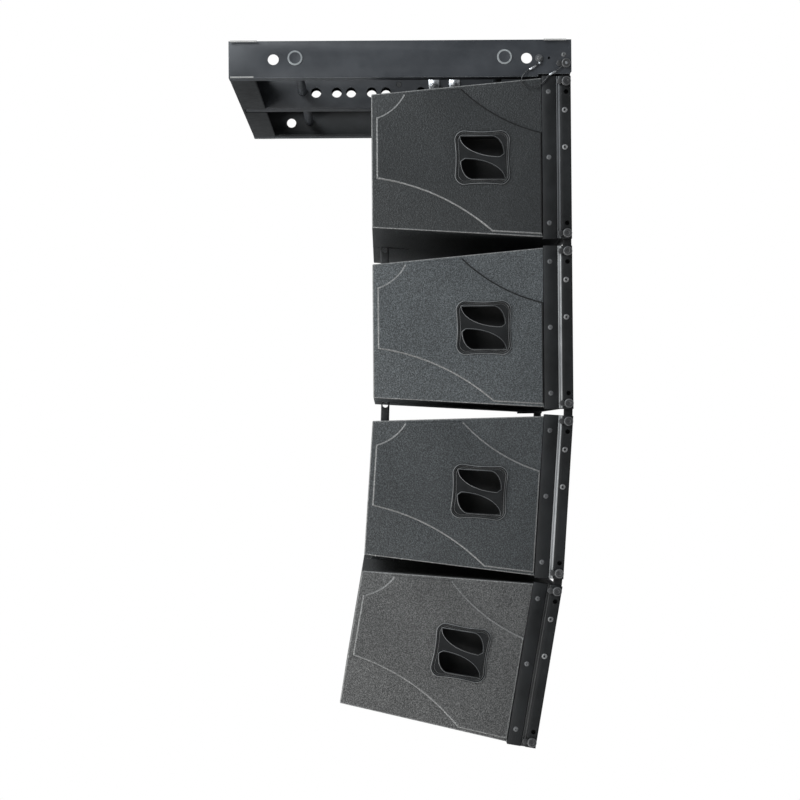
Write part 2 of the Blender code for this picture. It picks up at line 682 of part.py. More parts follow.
def build_chain(masters, finish):
    """Links, cabinets and struts from the frame down, each level turned by its splay."""
    top = Vector((LINK_PIN[0], 0, LINK_PIN[1]))
    tilt = 0.0
    for level, splay in enumerate(SPLAYS):
        number = level + 1
        link_tilt = tilt + splay / 2
        hinge = pivot(f"link{number}_pivot", top, link_tilt)
        for word in ("right", "left"):
            half_way = (0, 0, -LINK_LENGTH / 2)
            place(masters["link_" + word], f"link{number}_{word}", finish["steel"], hinge, half_way)
        if level:
            strut_at = along(top, tilt, STRUT_X, PIN_Z + STRUT_PIN_Z)
            master = masters["strut"]
        else:
            strut_at = Vector((FRAME_STRUT_X, 0, FRAME_STRUT_Z))
            master = masters["frame_strut"]
        strut_hinge = pivot(f"strut{number}_pivot", strut_at, link_tilt)
        place(master, f"rear_strut_{number}", finish["steel"], strut_hinge)
        hang_at = along(top, link_tilt, 0, -LINK_LENGTH)
        tilt += splay
        build_cabinet(number, masters, finish, hang_at, tilt)
        top = along(hang_at, tilt, 0, -2 * PIN_Z)


def build_masters():
    """One master mesh for each repeated piece."""
    masters = {"enclosure": enclosure(), "grille": grille(), "horn": horn(), "woofer": smooth(woofer()),
               "strut": strut(STRUT_LENGTH, NOTCH_HALF_WIDTH - 0.001),
               "frame_strut": strut(FRAME_STRUT_LENGTH, CENTRE_HALF_WIDTH + 0.003)}
    for side, word in ((-1, "right"), (1, "left")):
        masters["handle_" + word] = handle(side)
        masters["side_frame_" + word] = side_frame(side)
        masters["link_" + word] = front_link(side)
        masters["spare_pin_" + word] = locking_pin(side, 0)
    return masters


def main():
    global PARTS, CUTTERS
    clear_scene()
    PARTS = new_collection(ASSEMBLY)
    CUTTERS = new_collection("cutters")
    finish = {"wood": material("textured_paint", (0.045, 0.050, 0.054), 0.65),
              "steel": material("black_steel", (0.035, 0.038, 0.042), 0.45),
              "grille": material("grille_steel", (0.025, 0.025, 0.027), 0.50),
              "plastic": material("black_plastic", (0.030, 0.030, 0.032), 0.55),
              "cone": material("paper_cone", (0.020, 0.020, 0.020), 0.80),
              "zinc": material("zinc_plate", (0.62, 0.64, 0.66), 0.32, 1.0)}
    build_frame(finish)
    masters = build_masters()
    build_chain(masters, finish)
    for obj in list(CUTTERS.objects):
        bpy.data.objects.remove(obj, do_unlink=True)
    bpy.context.view_layer.update()


main()
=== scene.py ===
import json
from math import atan2, cos, pi, radians, sin, sqrt, tan

import bmesh
import bpy
from mathutils import Matrix, Vector


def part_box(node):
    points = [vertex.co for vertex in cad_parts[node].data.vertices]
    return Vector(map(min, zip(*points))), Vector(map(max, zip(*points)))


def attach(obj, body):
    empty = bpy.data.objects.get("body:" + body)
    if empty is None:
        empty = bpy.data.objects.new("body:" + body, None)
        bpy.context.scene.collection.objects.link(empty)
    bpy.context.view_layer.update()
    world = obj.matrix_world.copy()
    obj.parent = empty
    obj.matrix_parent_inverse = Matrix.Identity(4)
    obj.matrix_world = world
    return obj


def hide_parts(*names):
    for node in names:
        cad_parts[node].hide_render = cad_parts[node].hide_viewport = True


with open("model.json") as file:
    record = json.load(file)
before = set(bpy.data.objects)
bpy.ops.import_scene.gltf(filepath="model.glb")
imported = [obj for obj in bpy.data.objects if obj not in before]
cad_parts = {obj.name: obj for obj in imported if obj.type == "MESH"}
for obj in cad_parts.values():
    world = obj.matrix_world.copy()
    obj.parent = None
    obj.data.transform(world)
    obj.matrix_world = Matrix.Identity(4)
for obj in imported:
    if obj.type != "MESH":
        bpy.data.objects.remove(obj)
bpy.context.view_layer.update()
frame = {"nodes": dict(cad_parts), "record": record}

# Driving sizes of the cabinets, in metres, each in its own frame: x forward from the link pins,
# z up from half way between the top and bottom pins.
TILTS = (0.0, 0.0, 4.0, 10.0)
PIN_Z = 0.1648
REAR_X = -0.4227
STRIP_X = (-0.0525, 0.0103)
STRIP_HALF_HEIGHT = 0.177
GROOVE_X = (-0.0225, -0.0130)
EDGE_Z = 0.1728
TOP_SLOPE = radians(5.2)
BOTTOM_SLOPE = radians(3.5)
HALF_WIDTH = 0.500
HANDLE_X = -0.183
HANDLE_HALF_SIZE = (0.0600, 0.0587)
CUP_HALF_SIZE = 0.051
CUP_CORNER = 0.016
CUP_WALL = 0.003
CUP_DEPTH = 0.0620

# Quick-release pins and front links.
KNOB_R = 0.0100
KNOB_Y = 0.5006
# Where the dark disc behind each knob sits; it stands in for the knob's shadow on the groove strip.
SHADOW_DISC_X = -0.0145
PIN_R = 0.0060
PIN_HOLE_R = 0.0067
PIN_FOOT_Y = 0.4735
PIN_END_Y = 0.5010
LINK_HALF_WIDTH = 0.0095
LINK_Y = (0.4815, 0.4905)

# Wood, drivers and side frames.
WOOD_SIDE_Y = HALF_WIDTH - 0.003
WOOD_FRONT_X = -0.012
WALL = 0.015
BAFFLE_X = (-0.0755, -0.0575)
MOUTH_HALF_WIDTH = 0.460
NOTCH_FRONT_X = -0.338
NOTCH_HALF_WIDTH = 0.012
DRIVER_Y = 0.305
DRIVER_HOLE_R = 0.1405
HORN_HALF_SIZE = (0.118, 0.143)
RAIL_Y = 0.4725
RAIL_SEAT_Y = 0.472
CLEVIS_Y = (0.4805, 0.4915)
STRIP_SCREW_X = -0.0388
STRIP_SCREW_Z = 0.1425
RINGED_SCREW_X = -0.0035
RINGED_SCREW_Z = (0.1030, 0.0222)
# Where cutters end, clear of the piece they cut.
PAST_X = 0.1
PAST_Y = 0.6
PAST_Z = 0.3

# Flying frame, in the world's x, y and z.
FRAME_X = (-0.4862, 0.2568)
FRAME_Z = -0.062
LINK_PIN = (0.2447, -0.0741)
PICKUP_FIRST_X = -0.3104
PICKUP_STEPS = (0.0490, 0.0342)
BEAM_HALF_HEIGHT = 0.040
BEAM_INNER_Y = 0.460
SHEET = 0.006
BAR_HALF_WIDTH = 0.025
BAR_WALL = 0.005
BAR_Z = (FRAME_Z - 0.0385, FRAME_Z + 0.0415)
BEAM_HOLE_X = (-0.3894, 0.1596)
HOIST_HOLE_R = 0.0120
TIE_X = (-0.3423, 0.1117)
TIE_Z = FRAME_Z + 0.003
TIE_HOLE_R = 0.0108
END_SCREW = (0.2400, FRAME_Z + 0.007)
WELD_R = 0.0017
LUG_R = 0.026
LUG_HALF_THICKNESS = 0.009
LUG_BOLT_X = (-0.0300, 0.0185)
LUG_BOLT_Z = -0.0420

# Shackle and rear struts, each from its own pin.
SHACKLE_EAR_X = (0.0096, 0.0236)
SHACKLE_EAR_R = 0.0160
SHACKLE_EYE_R = 0.0088
SHACKLE_ROD_R = 0.0065
SHACKLE_BOW_R = 0.0250
SHACKLE_BOW_Z = 0.030
STRUT_HOLES = (-0.0285, -0.0635, -0.0985)
STRUT_HALF_WIDTH = 0.010
STRUT_HALF_THICKNESS = 0.004
STRUT_SLOT_HALF_WIDTH = 0.0055

# The right side's pin lanyard, which lies in one plane: a boss on the beam, and the wire's way in x and z.
LANYARD_R = 0.00125
LANYARD_Y = -0.5042
LANYARD_BOSS = (0.1863, -0.0629)
LANYARD_BOSS_R = 0.0042
LANYARD_ROUTE = (
    (0.1862, -0.0715), (0.1842, -0.0755), (0.1800, -0.0790), (0.1725, -0.0832), (0.1645, -0.0880),
    (0.1560, -0.0945), (0.1500, -0.1030), (0.1478, -0.1110), (0.1500, -0.1185), (0.1570, -0.1232),
    (0.1665, -0.1250), (0.1760, -0.1238), (0.1860, -0.1205), (0.1945, -0.1155), (0.2005, -0.1090),
    (0.2055, -0.1020), (0.2120, -0.0970), (0.2200, -0.0935), (0.2270, -0.0885),
)
FERRULES = (((0.1898, -0.0715), (0.1856, -0.0752)), ((0.1792, -0.0794), (0.1648, -0.0878)),
            ((0.2080, -0.0995), (0.2223, -0.0918)))
SIDES = ((-1, "right"), (1, "left"))
CABINETS = (1, 2, 3, 4)
# The groove lip's grey per cabinet: one lip in three greys, painted light and shade.
LIP_LIGHT_AND_SHADE = ("lip_dim", "lip", "lip", "lip_dark")
RECORD_JOINTS = {joint["name"]: joint for joint in frame["record"]["behaviour"]["joints"]}


# ---------------------------------------------------------------- mesh helpers

def add_object(name, mesh):
    obj = bpy.data.objects.new(name, mesh)
    bpy.context.scene.collection.objects.link(obj)
    return obj


def from_bmesh(name, bm):
    mesh = bpy.data.meshes.new(name)
    bm.to_mesh(mesh)
    bm.free()
    return add_object(name, mesh)


def box(name, low, high):
    low, high = Vector(low), Vector(high)
    size = Vector(abs(a - b) for a, b in zip(low, high))
    bm = bmesh.new()
    bmesh.ops.create_cube(bm, size=1.0)
    to_place = Matrix.Translation((low + high) / 2) @ Matrix.Diagonal((*size, 1))
    bmesh.ops.transform(bm, matrix=to_place, verts=bm.verts)
    return from_bmesh(name, bm)


def cylinder(name, radius, start, end, segments=32):
    start, end = Vector(start), Vector(end)
    along = end - start
    bm = bmesh.new()
    bmesh.ops.create_cone(bm, cap_ends=True, segments=segments, radius1=radius, radius2=radius,
                          depth=along.length)
    turn = Vector((0, 0, 1)).rotation_difference(along).to_matrix().to_4x4()
    bmesh.ops.transform(bm, matrix=Matrix.Translation((start + end) / 2) @ turn, verts=bm.verts)
    return from_bmesh(name, bm)


def plate(name, outline, y_from, y_to):
    """A flat plate from an outline in x and z, between two y."""
    bm = bmesh.new()
    ring = [bm.verts.new((x, y_from, z)) for x, z in outline]
    face = bm.faces.new(ring)
    grown = bmesh.ops.extrude_face_region(bm, geom=[face])["geom"]
    moved = [item for item in grown if isinstance(item, bmesh.types.BMVert)]
    bmesh.ops.translate(bm, vec=(0, y_to - y_from, 0), verts=moved)
    bmesh.ops.recalc_face_normals(bm, faces=bm.faces)
    return from_bmesh(name, bm)


def turned(name, profile, centre, axis, steps=48):
    """A solid of revolution: (radius, height) points about an axis through centre."""
    bm = bmesh.new()
    rows = []
    for radius, height in profile:
        if radius == 0:
            rows.append([bm.verts.new((0, 0, height))])
        else:
            angles = [2 * pi * i / steps for i in range(steps)]
            rows.append([bm.verts.new((radius * cos(a), radius * sin(a), height)) for a in angles])
    for lower, upper in zip(rows, rows[1:]):
        for i in range(steps):
            j = (i + 1) % steps
            quad = [lower[i % len(lower)], lower[j % len(lower)],
                    upper[j % len(upper)], upper[i % len(upper)]]
            corners = list(dict.fromkeys(quad))
            if len(corners) > 2:
                bm.faces.new(corners)
    bmesh.ops.recalc_face_normals(bm, faces=bm.faces)
    turn = Vector((0, 0, 1)).rotation_difference(Vector(axis)).to_matrix().to_4x4()
    bmesh.ops.transform(bm, matrix=Matrix.Translation(centre) @ turn, verts=bm.verts)
    return shaded(from_bmesh(name, bm))


def tube(name, points, radius, resolution=4):
    """A round bar along points, as a mesh with closed ends."""
    curve = bpy.data.curves.new(name, "CURVE")
    curve.dimensions = "3D"
    curve.bevel_depth = radius
    curve.bevel_resolution = resolution
    curve.use_fill_caps = True
    spline = curve.splines.new("POLY")
    spline.points.add(len(points) - 1)
    for point, place in zip(spline.points, points):
        point.co = (*place, 1)
    source = add_object(name + "_path", curve)
    bpy.context.view_layer.update()
    mesh = bpy.data.meshes.new_from_object(source.evaluated_get(bpy.context.evaluated_depsgraph_get()))
    bpy.data.objects.remove(source, do_unlink=True)
    bm = bmesh.new()
    bm.from_mesh(mesh)
    bmesh.ops.remove_doubles(bm, verts=bm.verts, dist=1e-6)
    bmesh.ops.recalc_face_normals(bm, faces=bm.faces)
    bm.to_mesh(mesh)
    bm.free()
    return shaded(add_object(name, mesh))


def baked(obj):
    bpy.context.view_layer.update()
    mesh = bpy.data.meshes.new_from_object(obj.evaluated_get(bpy.context.evaluated_depsgraph_get()))
    obj.modifiers.clear()
    obj.data = mesh
    return obj


def combine(target, other, operation):
    modifier = target.modifiers.new(operation.lower(), "BOOLEAN")
    modifier.operation = operation
    modifier.object = other
    baked(target)
    bpy.data.objects.remove(other, do_unlink=True)
    return target


def cut(target, *cutters):
    for cutter in cutters:
        combine(target, cutter, "DIFFERENCE")
    return target


def join(target, *others):
    for other in others:
        combine(target, other, "UNION")
    return target


def merged(name, pieces):
    """One object that holds the meshes of several pieces, which don't touch."""
    bm = bmesh.new()
    for piece in pieces:
        bm.from_mesh(piece.data)
        bpy.data.objects.remove(piece, do_unlink=True)
    return from_bmesh(name, bm)


def shaded(obj, angle=35):
    obj.data.shade_smooth()
    obj.data.set_sharp_from_angle(angle=radians(angle))
    return obj


def rounded(obj, width, segments=2, angle=30):
    """Rounds the sharp edges of a piece."""
    clean = bmesh.new()
    clean.from_mesh(obj.data)
    bmesh.ops.remove_doubles(clean, verts=clean.verts, dist=2e-6)
    bmesh.ops.dissolve_limit(clean, angle_limit=radians(0.5), verts=clean.verts, edges=clean.edges)
    clean.to_mesh(obj.data)
    clean.free()
    bevel = obj.modifiers.new("round", "BEVEL")
    bevel.width = width
    bevel.segments = segments
    bevel.limit_method = "ANGLE"
    bevel.angle_limit = radians(angle)
    bevel.harden_normals = False
    baked(obj)
    return shaded(obj, 40)


def copy_of(node, name):
    """A new piece with a CAD node's mesh, to be refined and shown in its place."""
    source = frame["nodes"][node]
    mesh = source.data.copy()
    mesh.transform(source.matrix_world)
    mesh.materials.clear()
    return add_object(name, mesh)


def arc(centre, radii, start, end, count):
    points = []
    for i in range(count + 1):
        angle = radians(start + (end - start) * i / count)
        points.append((centre[0] + radii[0] * cos(angle), centre[1] + radii[1] * sin(angle)))
    return points


def dress(obj, finish, body, replaces=()):
    """Gives a finished piece its material and the body it rides on, and hides the parts it replaces."""
    obj.data.materials.clear()
    obj.data.materials.append(MATERIALS[finish])
    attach(obj, body)
    if replaces:
        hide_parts(*replaces)
    return obj


def dress_frame(obj, finish, *replaces):
    """Dresses a piece of the flying frame."""
    return dress(obj, finish, "flying_frame", replaces)


def repaint(obj, finish, picks):
    """Adds a material and gives it to the faces for which picks is true."""
    obj.data.materials.append(MATERIALS[finish])
    index = len(obj.data.materials) - 1
    for face in obj.data.polygons:
        if picks(face):
            face.material_index = index
    return obj


def edged(obj, finish, low=0.10, high=0.975, beyond=0.0):
    """Gives a dressed piece's rounded edges, the faces that lean from the y axis, one more material."""
    def leans(face):
        return low < abs(face.normal.y) < high and abs(face.center.y) > beyond

    return repaint(obj, finish, leans)


def pad_edges(pad, number):
    """Painted highlights on a pad's lower and rear edges; its front upper ones get painted shade on cabinets
    1 and 2 and painted highlights on 3 and 4.
    """
    pad.data.materials.append(MATERIALS["paint_edge"])
    pad.data.materials.append(MATERIALS["paint_shade"])
    for face in pad.data.polygons:
        normal = face.normal
        if not 0.10 < abs(normal.y) < 0.996:
            continue
        flat = sqrt(normal.x ** 2 + normal.z ** 2)
        ahead, up = normal.x / flat, normal.z / flat
        if ahead > 0.2 and up > -0.2:
            face.material_index = 2 if number < 3 else 1
        elif ahead < -0.2 or up < 0.3:
            face.material_index = 1


def cabinet_matrix(number):
    """Takes a cabinet's own frame to the world at rest."""
    hang = Vector(RECORD_JOINTS[f"splay_{number}"]["pos_m"])
    tilt = Matrix.Rotation(radians(TILTS[number - 1]), 4, "Y")
    return Matrix.Translation(hang) @ tilt @ Matrix.Translation((0, 0, -PIN_Z))


def put(obj, matrix):
    obj.data.transform(matrix)
    return obj


# ---------------------------------------------------------------- materials

# Turns every texture's own grid away from the flat faces, which would cut noise along its even planes.
GRAIN_TURN = (0.61, 0.37, 0.23)


class Nodes:
    """A short way to build a procedural material round one Principled shader."""

    def __init__(self, name):
        self.material = bpy.data.materials.new(name)
        self.material.use_nodes = True
        self.tree = self.material.node_tree
        self.shader = self.tree.nodes["Principled BSDF"]
        mapping = self.add("ShaderNodeMapping", Vector=self.add("ShaderNodeTexCoord").outputs["Object"])
        mapping.inputs["Rotation"].default_value = GRAIN_TURN
        self.place = mapping.outputs["Vector"]

    def add(self, kind, **inputs):
        node = self.tree.nodes.new(kind)
        for key, value in inputs.items():
            self.feed(node.inputs[key.replace("_", " ")], value)
        return node

    def feed(self, socket, value):
        if isinstance(value, bpy.types.NodeSocket):
            self.tree.links.new(value, socket)
        else:
            socket.default_value = value

    def noise(self, scale, detail=3.0, roughness=0.55):
        node = self.add("ShaderNodeTexNoise", Vector=self.place, Scale=scale, Detail=detail,
                        Roughness=roughness)
        return node.outputs["Fac"]

    def cells(self, scale, feature="F1"):
        node = self.add("ShaderNodeTexVoronoi", Vector=self.place, Scale=scale)
        node.feature = feature
        return node.outputs["Distance"]

    def ramp(self, value, stops):
        """A colour ramp; each stop is (position, grey level or colour)."""
        node = self.add("ShaderNodeValToRGB", Fac=value)
        elements = node.color_ramp.elements
        while len(elements) < len(stops):
            elements.new(0.5)
        for element, (position, level) in zip(elements, stops):
            element.position = position
            colour = (level, level, level) if isinstance(level, float) else level
            element.color = (*colour, 1.0)
        return node.outputs["Color"]

    def bump(self, height, distance, strength=1.0, normal=None):
        node = self.add("ShaderNodeBump", Height=height, Distance=distance, Strength=strength)
        if normal is not None:
            self.tree.links.new(normal, node.inputs["Normal"])
        return node.outputs["Normal"]

    def finish(self, **inputs):
        for key, value in inputs.items():
            self.feed(self.shader.inputs[key.replace("_", " ")], value)
        return self.material


def textured_paint(name, tint, level, contrast=1.0):
    """Rough sprayed coating round a mean grey: fine flecks, hard grains and slow drifts of tone."""
    n = Nodes(name)
    fleck = n.noise(400.0, 2.0, 0.8)
    stops = ((0.36, 1 - 0.72 * contrast), (0.50, 0.88), (0.64, 1 + 1.25 * contrast))
    colour = n.ramp(fleck, [(place, tuple(level * value * part for part in tint)) for place, value in stops])
    tone = n.ramp(n.noise(9.0, 3.0), [(0.3, 0.84), (0.7, 1.0)])
    mixed = n.add("ShaderNodeMix")
    mixed.data_type = "RGBA"
    mixed.blend_type = "MULTIPLY"
    for socket, value in ((0, 1.0), (6, colour), (7, tone)):
        n.feed(mixed.inputs[socket], value)
    rough = n.ramp(fleck, [(0.35, 0.66), (0.65, 0.48)])
    coarse = n.bump(n.cells(337.0, "SMOOTH_F1"), 0.0010, 0.8)
    fine = n.bump(n.noise(701.0, 2.0), 0.0005, 0.6, coarse)
    return n.finish(Base_Color=mixed.outputs[2], Roughness=rough, Normal=fine, Specular_IOR_Level=0.35)


def powder_coat(name, dark, light, roughness, grain=1400.0, specular=0.5):
    """Satin powder coat with faint orange peel and slow drifts of tone."""
    n = Nodes(name)
    tone = n.noise(14.0, 3.0)
    colour = n.ramp(tone, [(0.35, dark), (0.68, light)])
    rough = n.ramp(n.noise(60.0, 3.0), [(0.3, roughness - 0.05), (0.75, roughness + 0.07)])
    peel = n.bump(n.noise(grain, 2.0), 0.00012, 0.5)
    return n.finish(Base_Color=colour, Roughness=rough, Normal=peel, Specular_IOR_Level=specular)


def moulded_plastic(name, dark, light, roughness, specular=0.35):
    """Fine spark-eroded grain on moulded black plastic."""
    n = Nodes(name)
    colour = n.ramp(n.noise(30.0, 2.0), [(0.35, dark), (0.7, light)])
    rough = n.ramp(n.noise(500.0, 2.0), [(0.35, roughness - 0.06), (0.7, roughness + 0.06)])
    leather = n.bump(n.cells(1300.0), 0.00015, 0.6)
    return n.finish(Base_Color=colour, Roughness=rough, Normal=leather, Specular_IOR_Level=specular)


def zinc(name, light=0.70):
    """Bright zinc plate with cloudy patches and fine scratches."""
    n = Nodes(name)
    dull = (light * 0.72, light * 0.75, light * 0.78)
    bright = (light, light, light * 1.02)
    colour = n.ramp(n.noise(55.0, 4.0), [(0.3, dull), (0.7, bright)])
    rough = n.ramp(n.noise(220.0, 4.0), [(0.3, 0.22), (0.75, 0.42)])
    scratch = n.bump(n.noise(700.0, 5.0, 0.7), 0.00008, 0.5)
    return n.finish(Base_Color=colour, Roughness=rough, Normal=scratch, Metallic=1.0)


# Paint tints: the cool one is painted cool key light, on cabinets 1 to 3.
COOL_LIGHT_TINT = (0.90, 1.00, 1.06)
NEUTRAL = (1.00, 1.00, 0.99)
MATERIALS = {
    # One paint at a different level on each cabinet: painted light and shade, cabinet 1 darkest and cabinet 4
    # lightest.
    "paint_1": textured_paint("textured_paint_1", COOL_LIGHT_TINT, 0.0135, 0.8),
    "paint_2": textured_paint("textured_paint_2", COOL_LIGHT_TINT, 0.045, 0.9),
    "paint_3": textured_paint("textured_paint_3", COOL_LIGHT_TINT, 0.028, 0.9),
    "paint_4": textured_paint("textured_paint_4", NEUTRAL, 0.051, 0.9),
    # Painted highlight for the rounded edges of the shells and pads.
    "paint_edge": textured_paint("paint_edge", NEUTRAL, 0.140, 0.5),
    "paint_shade": textured_paint("paint_shade", NEUTRAL, 0.003, 0.5),
    "frame": powder_coat("frame_coat", (0.015, 0.017, 0.0205), (0.026, 0.0285, 0.033), 0.46, specular=0.38),
    # The centre bar in a darker copy of the frame's coat: painted shade cast by the near beam.
    "frame_bar": powder_coat("bar_coat", (0.010, 0.0112, 0.0135), (0.018, 0.0195, 0.0225), 0.46,
                             specular=0.34),
    # Painted shade for the faces inside the beams and channels.
    "frame_inside": powder_coat("frame_inside", (0.005, 0.0055, 0.006), (0.011, 0.012, 0.013), 0.55,
                                specular=0.25),
    # Painted highlight for the beams' rounded outer edges and the tie tubes' rims.
    "frame_edge": powder_coat("frame_edge_wear", (0.120, 0.130, 0.135), (0.200, 0.210, 0.215), 0.40),
    "rail": powder_coat("rail_coat", (0.004, 0.0043, 0.0046), (0.009, 0.0097, 0.0104), 0.46, specular=0.22),
    # The weld beads are real; their light grey, far above the frame's coat, is a painted highlight.
    "weld": powder_coat("weld_coat", (0.200, 0.200, 0.195), (0.340, 0.335, 0.325), 0.45, 500.0),
    "link": powder_coat("link_coat", (0.004, 0.004, 0.0043), (0.009, 0.009, 0.0095), 0.42, specular=0.25),
    "knob": powder_coat("knob_coat", (0.012, 0.012, 0.0125), (0.032, 0.032, 0.033), 0.42, 500.0, 0.35),
    "strut": powder_coat("strut_coat", (0.008, 0.0085, 0.009), (0.018, 0.019, 0.020), 0.42),
    "grille": powder_coat("grille_coat", (0.008, 0.008, 0.009), (0.018, 0.018, 0.020), 0.45),
    # One folded lip in three greys, one per cabinet: painted light and shade.
    "lip_dim": powder_coat("lip_dim", (0.045, 0.047, 0.050), (0.070, 0.073, 0.077), 0.42),
    "lip": powder_coat("lip_light", (0.200, 0.203, 0.205), (0.300, 0.303, 0.305), 0.42),
    "lip_dark": powder_coat("lip_dark", 0.010, 0.020, 0.42),
    "screw_ring": powder_coat("screw_ring", (0.070, 0.070, 0.071), (0.150, 0.150, 0.152), 0.38),
    "plastic": moulded_plastic("handle_plastic", (0.004, 0.0044, 0.0048), (0.009, 0.0095, 0.010), 0.56, 0.18),
    # Painted highlight for the handle's rounded rims.
    "plastic_edge": moulded_plastic("handle_edge", (0.090, 0.093, 0.095), (0.160, 0.163, 0.165), 0.42),
    # Painted shade for the inside of the handle's cup and the floor of its groove.
    "cavity": moulded_plastic("handle_cavity", 0.002, 0.006, 0.60),
    "horn": moulded_plastic("horn_plastic", 0.012, 0.022, 0.42),
    "cone": moulded_plastic("paper_cone", (0.008, 0.008, 0.008), (0.018, 0.018, 0.017), 0.75),
    "screw": powder_coat("screw_black_oxide", (0.040, 0.041, 0.043), (0.110, 0.112, 0.115), 0.34),
    # Painted highlight for the knobs' rounded rims.
    "knob_edge": powder_coat("knob_worn_edge", (0.030, 0.030, 0.031), (0.080, 0.080, 0.082), 0.36),
    "ferrule": zinc("ferrule_metal", 0.55),
    "cable": moulded_plastic("lanyard_coat", (0.010, 0.010, 0.011), (0.030, 0.030, 0.031), 0.28),
    "zinc": zinc("shackle_zinc", 0.72),
}


# ---------------------------------------------------------------- fittings

def socket_screw(name, centre, axis, radius):
    """Button-head screw with a hexagon socket and a thin washer under it."""
    head = [(0, 0.0009), (radius * 0.42, 0.0009), (radius * 0.46, 0.0026), (radius * 0.72, 0.0024),
            (radius * 0.95, 0.0014), (radius, 0.0006), (radius, 0.0), (radius * 1.28, 0.0),
            (radius * 1.30, -0.0006), (0, -0.0006)]
    return turned(name, head, centre, axis, steps=24)


def knob(side, z):
    """Quick-release pin head: a round knob with a grip groove, a raised ring and a dished face."""
    profile = [(0, 0.0078), (0.0036, 0.0078), (0.0044, 0.0090), (0.0078, 0.0094), (0.0092, 0.0088),
               (KNOB_R, 0.0070), (KNOB_R, 0.0060), (0.0091, 0.0052), (0.0091, 0.0044), (KNOB_R, 0.0036),
               (KNOB_R, 0.0006), (0.0094, 0.0), (0, 0.0)]
    return turned("knob", profile, (0, side * KNOB_Y, z), (0, side, 0), steps=32)


def dress_knobs(pieces, name, matrix, body, replaces=()):
    """Dresses knobs, each with a dark round disc behind it, set to the rear, that stands in for the knob's
    shadow on the groove strip: a painted shadow.
    """
    for piece in list(pieces):
        low = [min(vertex.co[axis] for vertex in piece.data.vertices) for axis in range(3)]
        high = [max(vertex.co[axis] for vertex in piece.data.vertices) for axis in range(3)]
        if piece.name.startswith("knob"):
            side, z = (1 if low[1] > 0 else -1), (low[2] + high[2]) / 2
            # A dark disc where the knob's shadow falls on the strip: a painted shadow.
            keeper = cylinder("keeper", 0.0062, (SHADOW_DISC_X, side * 0.5004, z),
                              (SHADOW_DISC_X, side * 0.5044, z), 24)
            pieces.append(rounded(keeper, 0.0005))
    knobs = put(shaded(merged(name, pieces)), matrix)
    dress(knobs, "knob", body, replaces)
    # Painted highlights on the knobs' rounded rims.
    return edged(knobs, "knob_edge", 0.15, 0.97)


def dog_bone(x, top, bottom, half_width, y_from, y_to):
    """A flat link with round ends, between two heights."""
    outline = arc((x, top), (half_width, half_width), 0, 180, 16)
    outline += arc((x, bottom), (half_width, half_width), 180, 360, 16)
    return plate("dog_bone", outline, y_from, y_to)


def build_links():
    """Front links with their pins and knobs, the top pins' bright buttons, and the stowed pins."""
    for number in CABINETS:
        upper = Vector(RECORD_JOINTS[f"link_swing_{number}"]["pos_m"])
        lower = Vector(RECORD_JOINTS[f"splay_{number}"]["pos_m"])
        lean = atan2(upper.x - lower.x, upper.z - lower.z)
        length = (upper - lower).length
        to_world = Matrix.Translation(upper) @ Matrix.Rotation(lean, 4, "Y")
        for side, word in SIDES:
            node = f"link{number}_{word}"
            bar = dog_bone(0, 0, -length, LINK_HALF_WIDTH, side * LINK_Y[0], side * LINK_Y[1])
            rounded(bar, 0.0009)
            for z in (0, -length):
                join(bar, cylinder("pin", PIN_R, (0, side * PIN_FOOT_Y, z), (0, side * PIN_END_Y, z), 24))
            put(shaded(bar), to_world)
            dress(bar, "link", f"link_{number}", [node])
            dress_knobs([knob(side, 0.0), knob(side, -length)], node + "_knobs", to_world, f"link_{number}")
            if number == 1:
                profile = [(0, 0.0), (0.0030, -0.0003), (0.0035, -0.0012), (0.0035, -0.0040), (0, -0.0040)]
                button = turned(node + "_button", profile, (0, side * 0.5099, 0), (0, side, 0), 20)
                put(button, to_world)
                dress(button, "zinc", f"link_{number}")
    for side, word in SIDES:
        shaft = cylinder("shaft", PIN_R, (0, side * PIN_FOOT_Y, -PIN_Z), (0, side * PIN_END_Y, -PIN_Z), 24)
        node = "cab4_stowed_pin_" + word
        dress_knobs([knob(side, -PIN_Z), shaft], node + "_knob", cabinet_matrix(4), "cabinet_4", [node])


# ---------------------------------------------------------------- cabinet

def top_z(x):
    return EDGE_Z + (x - STRIP_X[0]) * tan(TOP_SLOPE)


def bottom_z(x):
    return -EDGE_Z - (x - STRIP_X[0]) * tan(BOTTOM_SLOPE)


def wedge(name, rear, front, margin, half_width):
    """A slice of the cabinet's wedge between two x, its top and bottom moved in by a margin."""
    outline = [(rear, bottom_z(rear) + margin), (front, bottom_z(front) + margin),
               (front, top_z(front) - margin), (rear, top_z(rear) - margin)]
    return plate(name, outline, -half_width, half_width)


def sweep(start, end, sag, count):
    """A shallow curve from start to end that stands off its chord by sag, to the left if positive."""
    along_x, along_z = end[0] - start[0], end[1] - start[1]
    length = sqrt(along_x ** 2 + along_z ** 2)
    points = []
    for i in range(count + 1):
        t = i / count
        rise = 4 * sag * t * (1 - t) / length
        points.append((start[0] + along_x * t - along_z * rise, start[1] + along_z * t + along_x * rise))
    return points


def pad_outline(margin):
    """The raised field of a side panel, with a concave sweep at three of its corners."""
    rear, front = REAR_X + 0.0105, STRIP_X[0] - 0.0015
    shoulder, crest, foot = REAR_X + 0.071, REAR_X + 0.195, REAR_X + 0.260
    points = sweep((rear, 0.0886), (shoulder, top_z(shoulder) - margin), -0.008, 14)
    points += sweep((crest, top_z(crest) - margin), (front, 0.0546), -0.0135, 24)
    points.append((front, bottom_z(front) + margin))
    points += sweep((foot, bottom_z(foot) + margin), (rear, -0.0441), -0.020, 28)
    return points


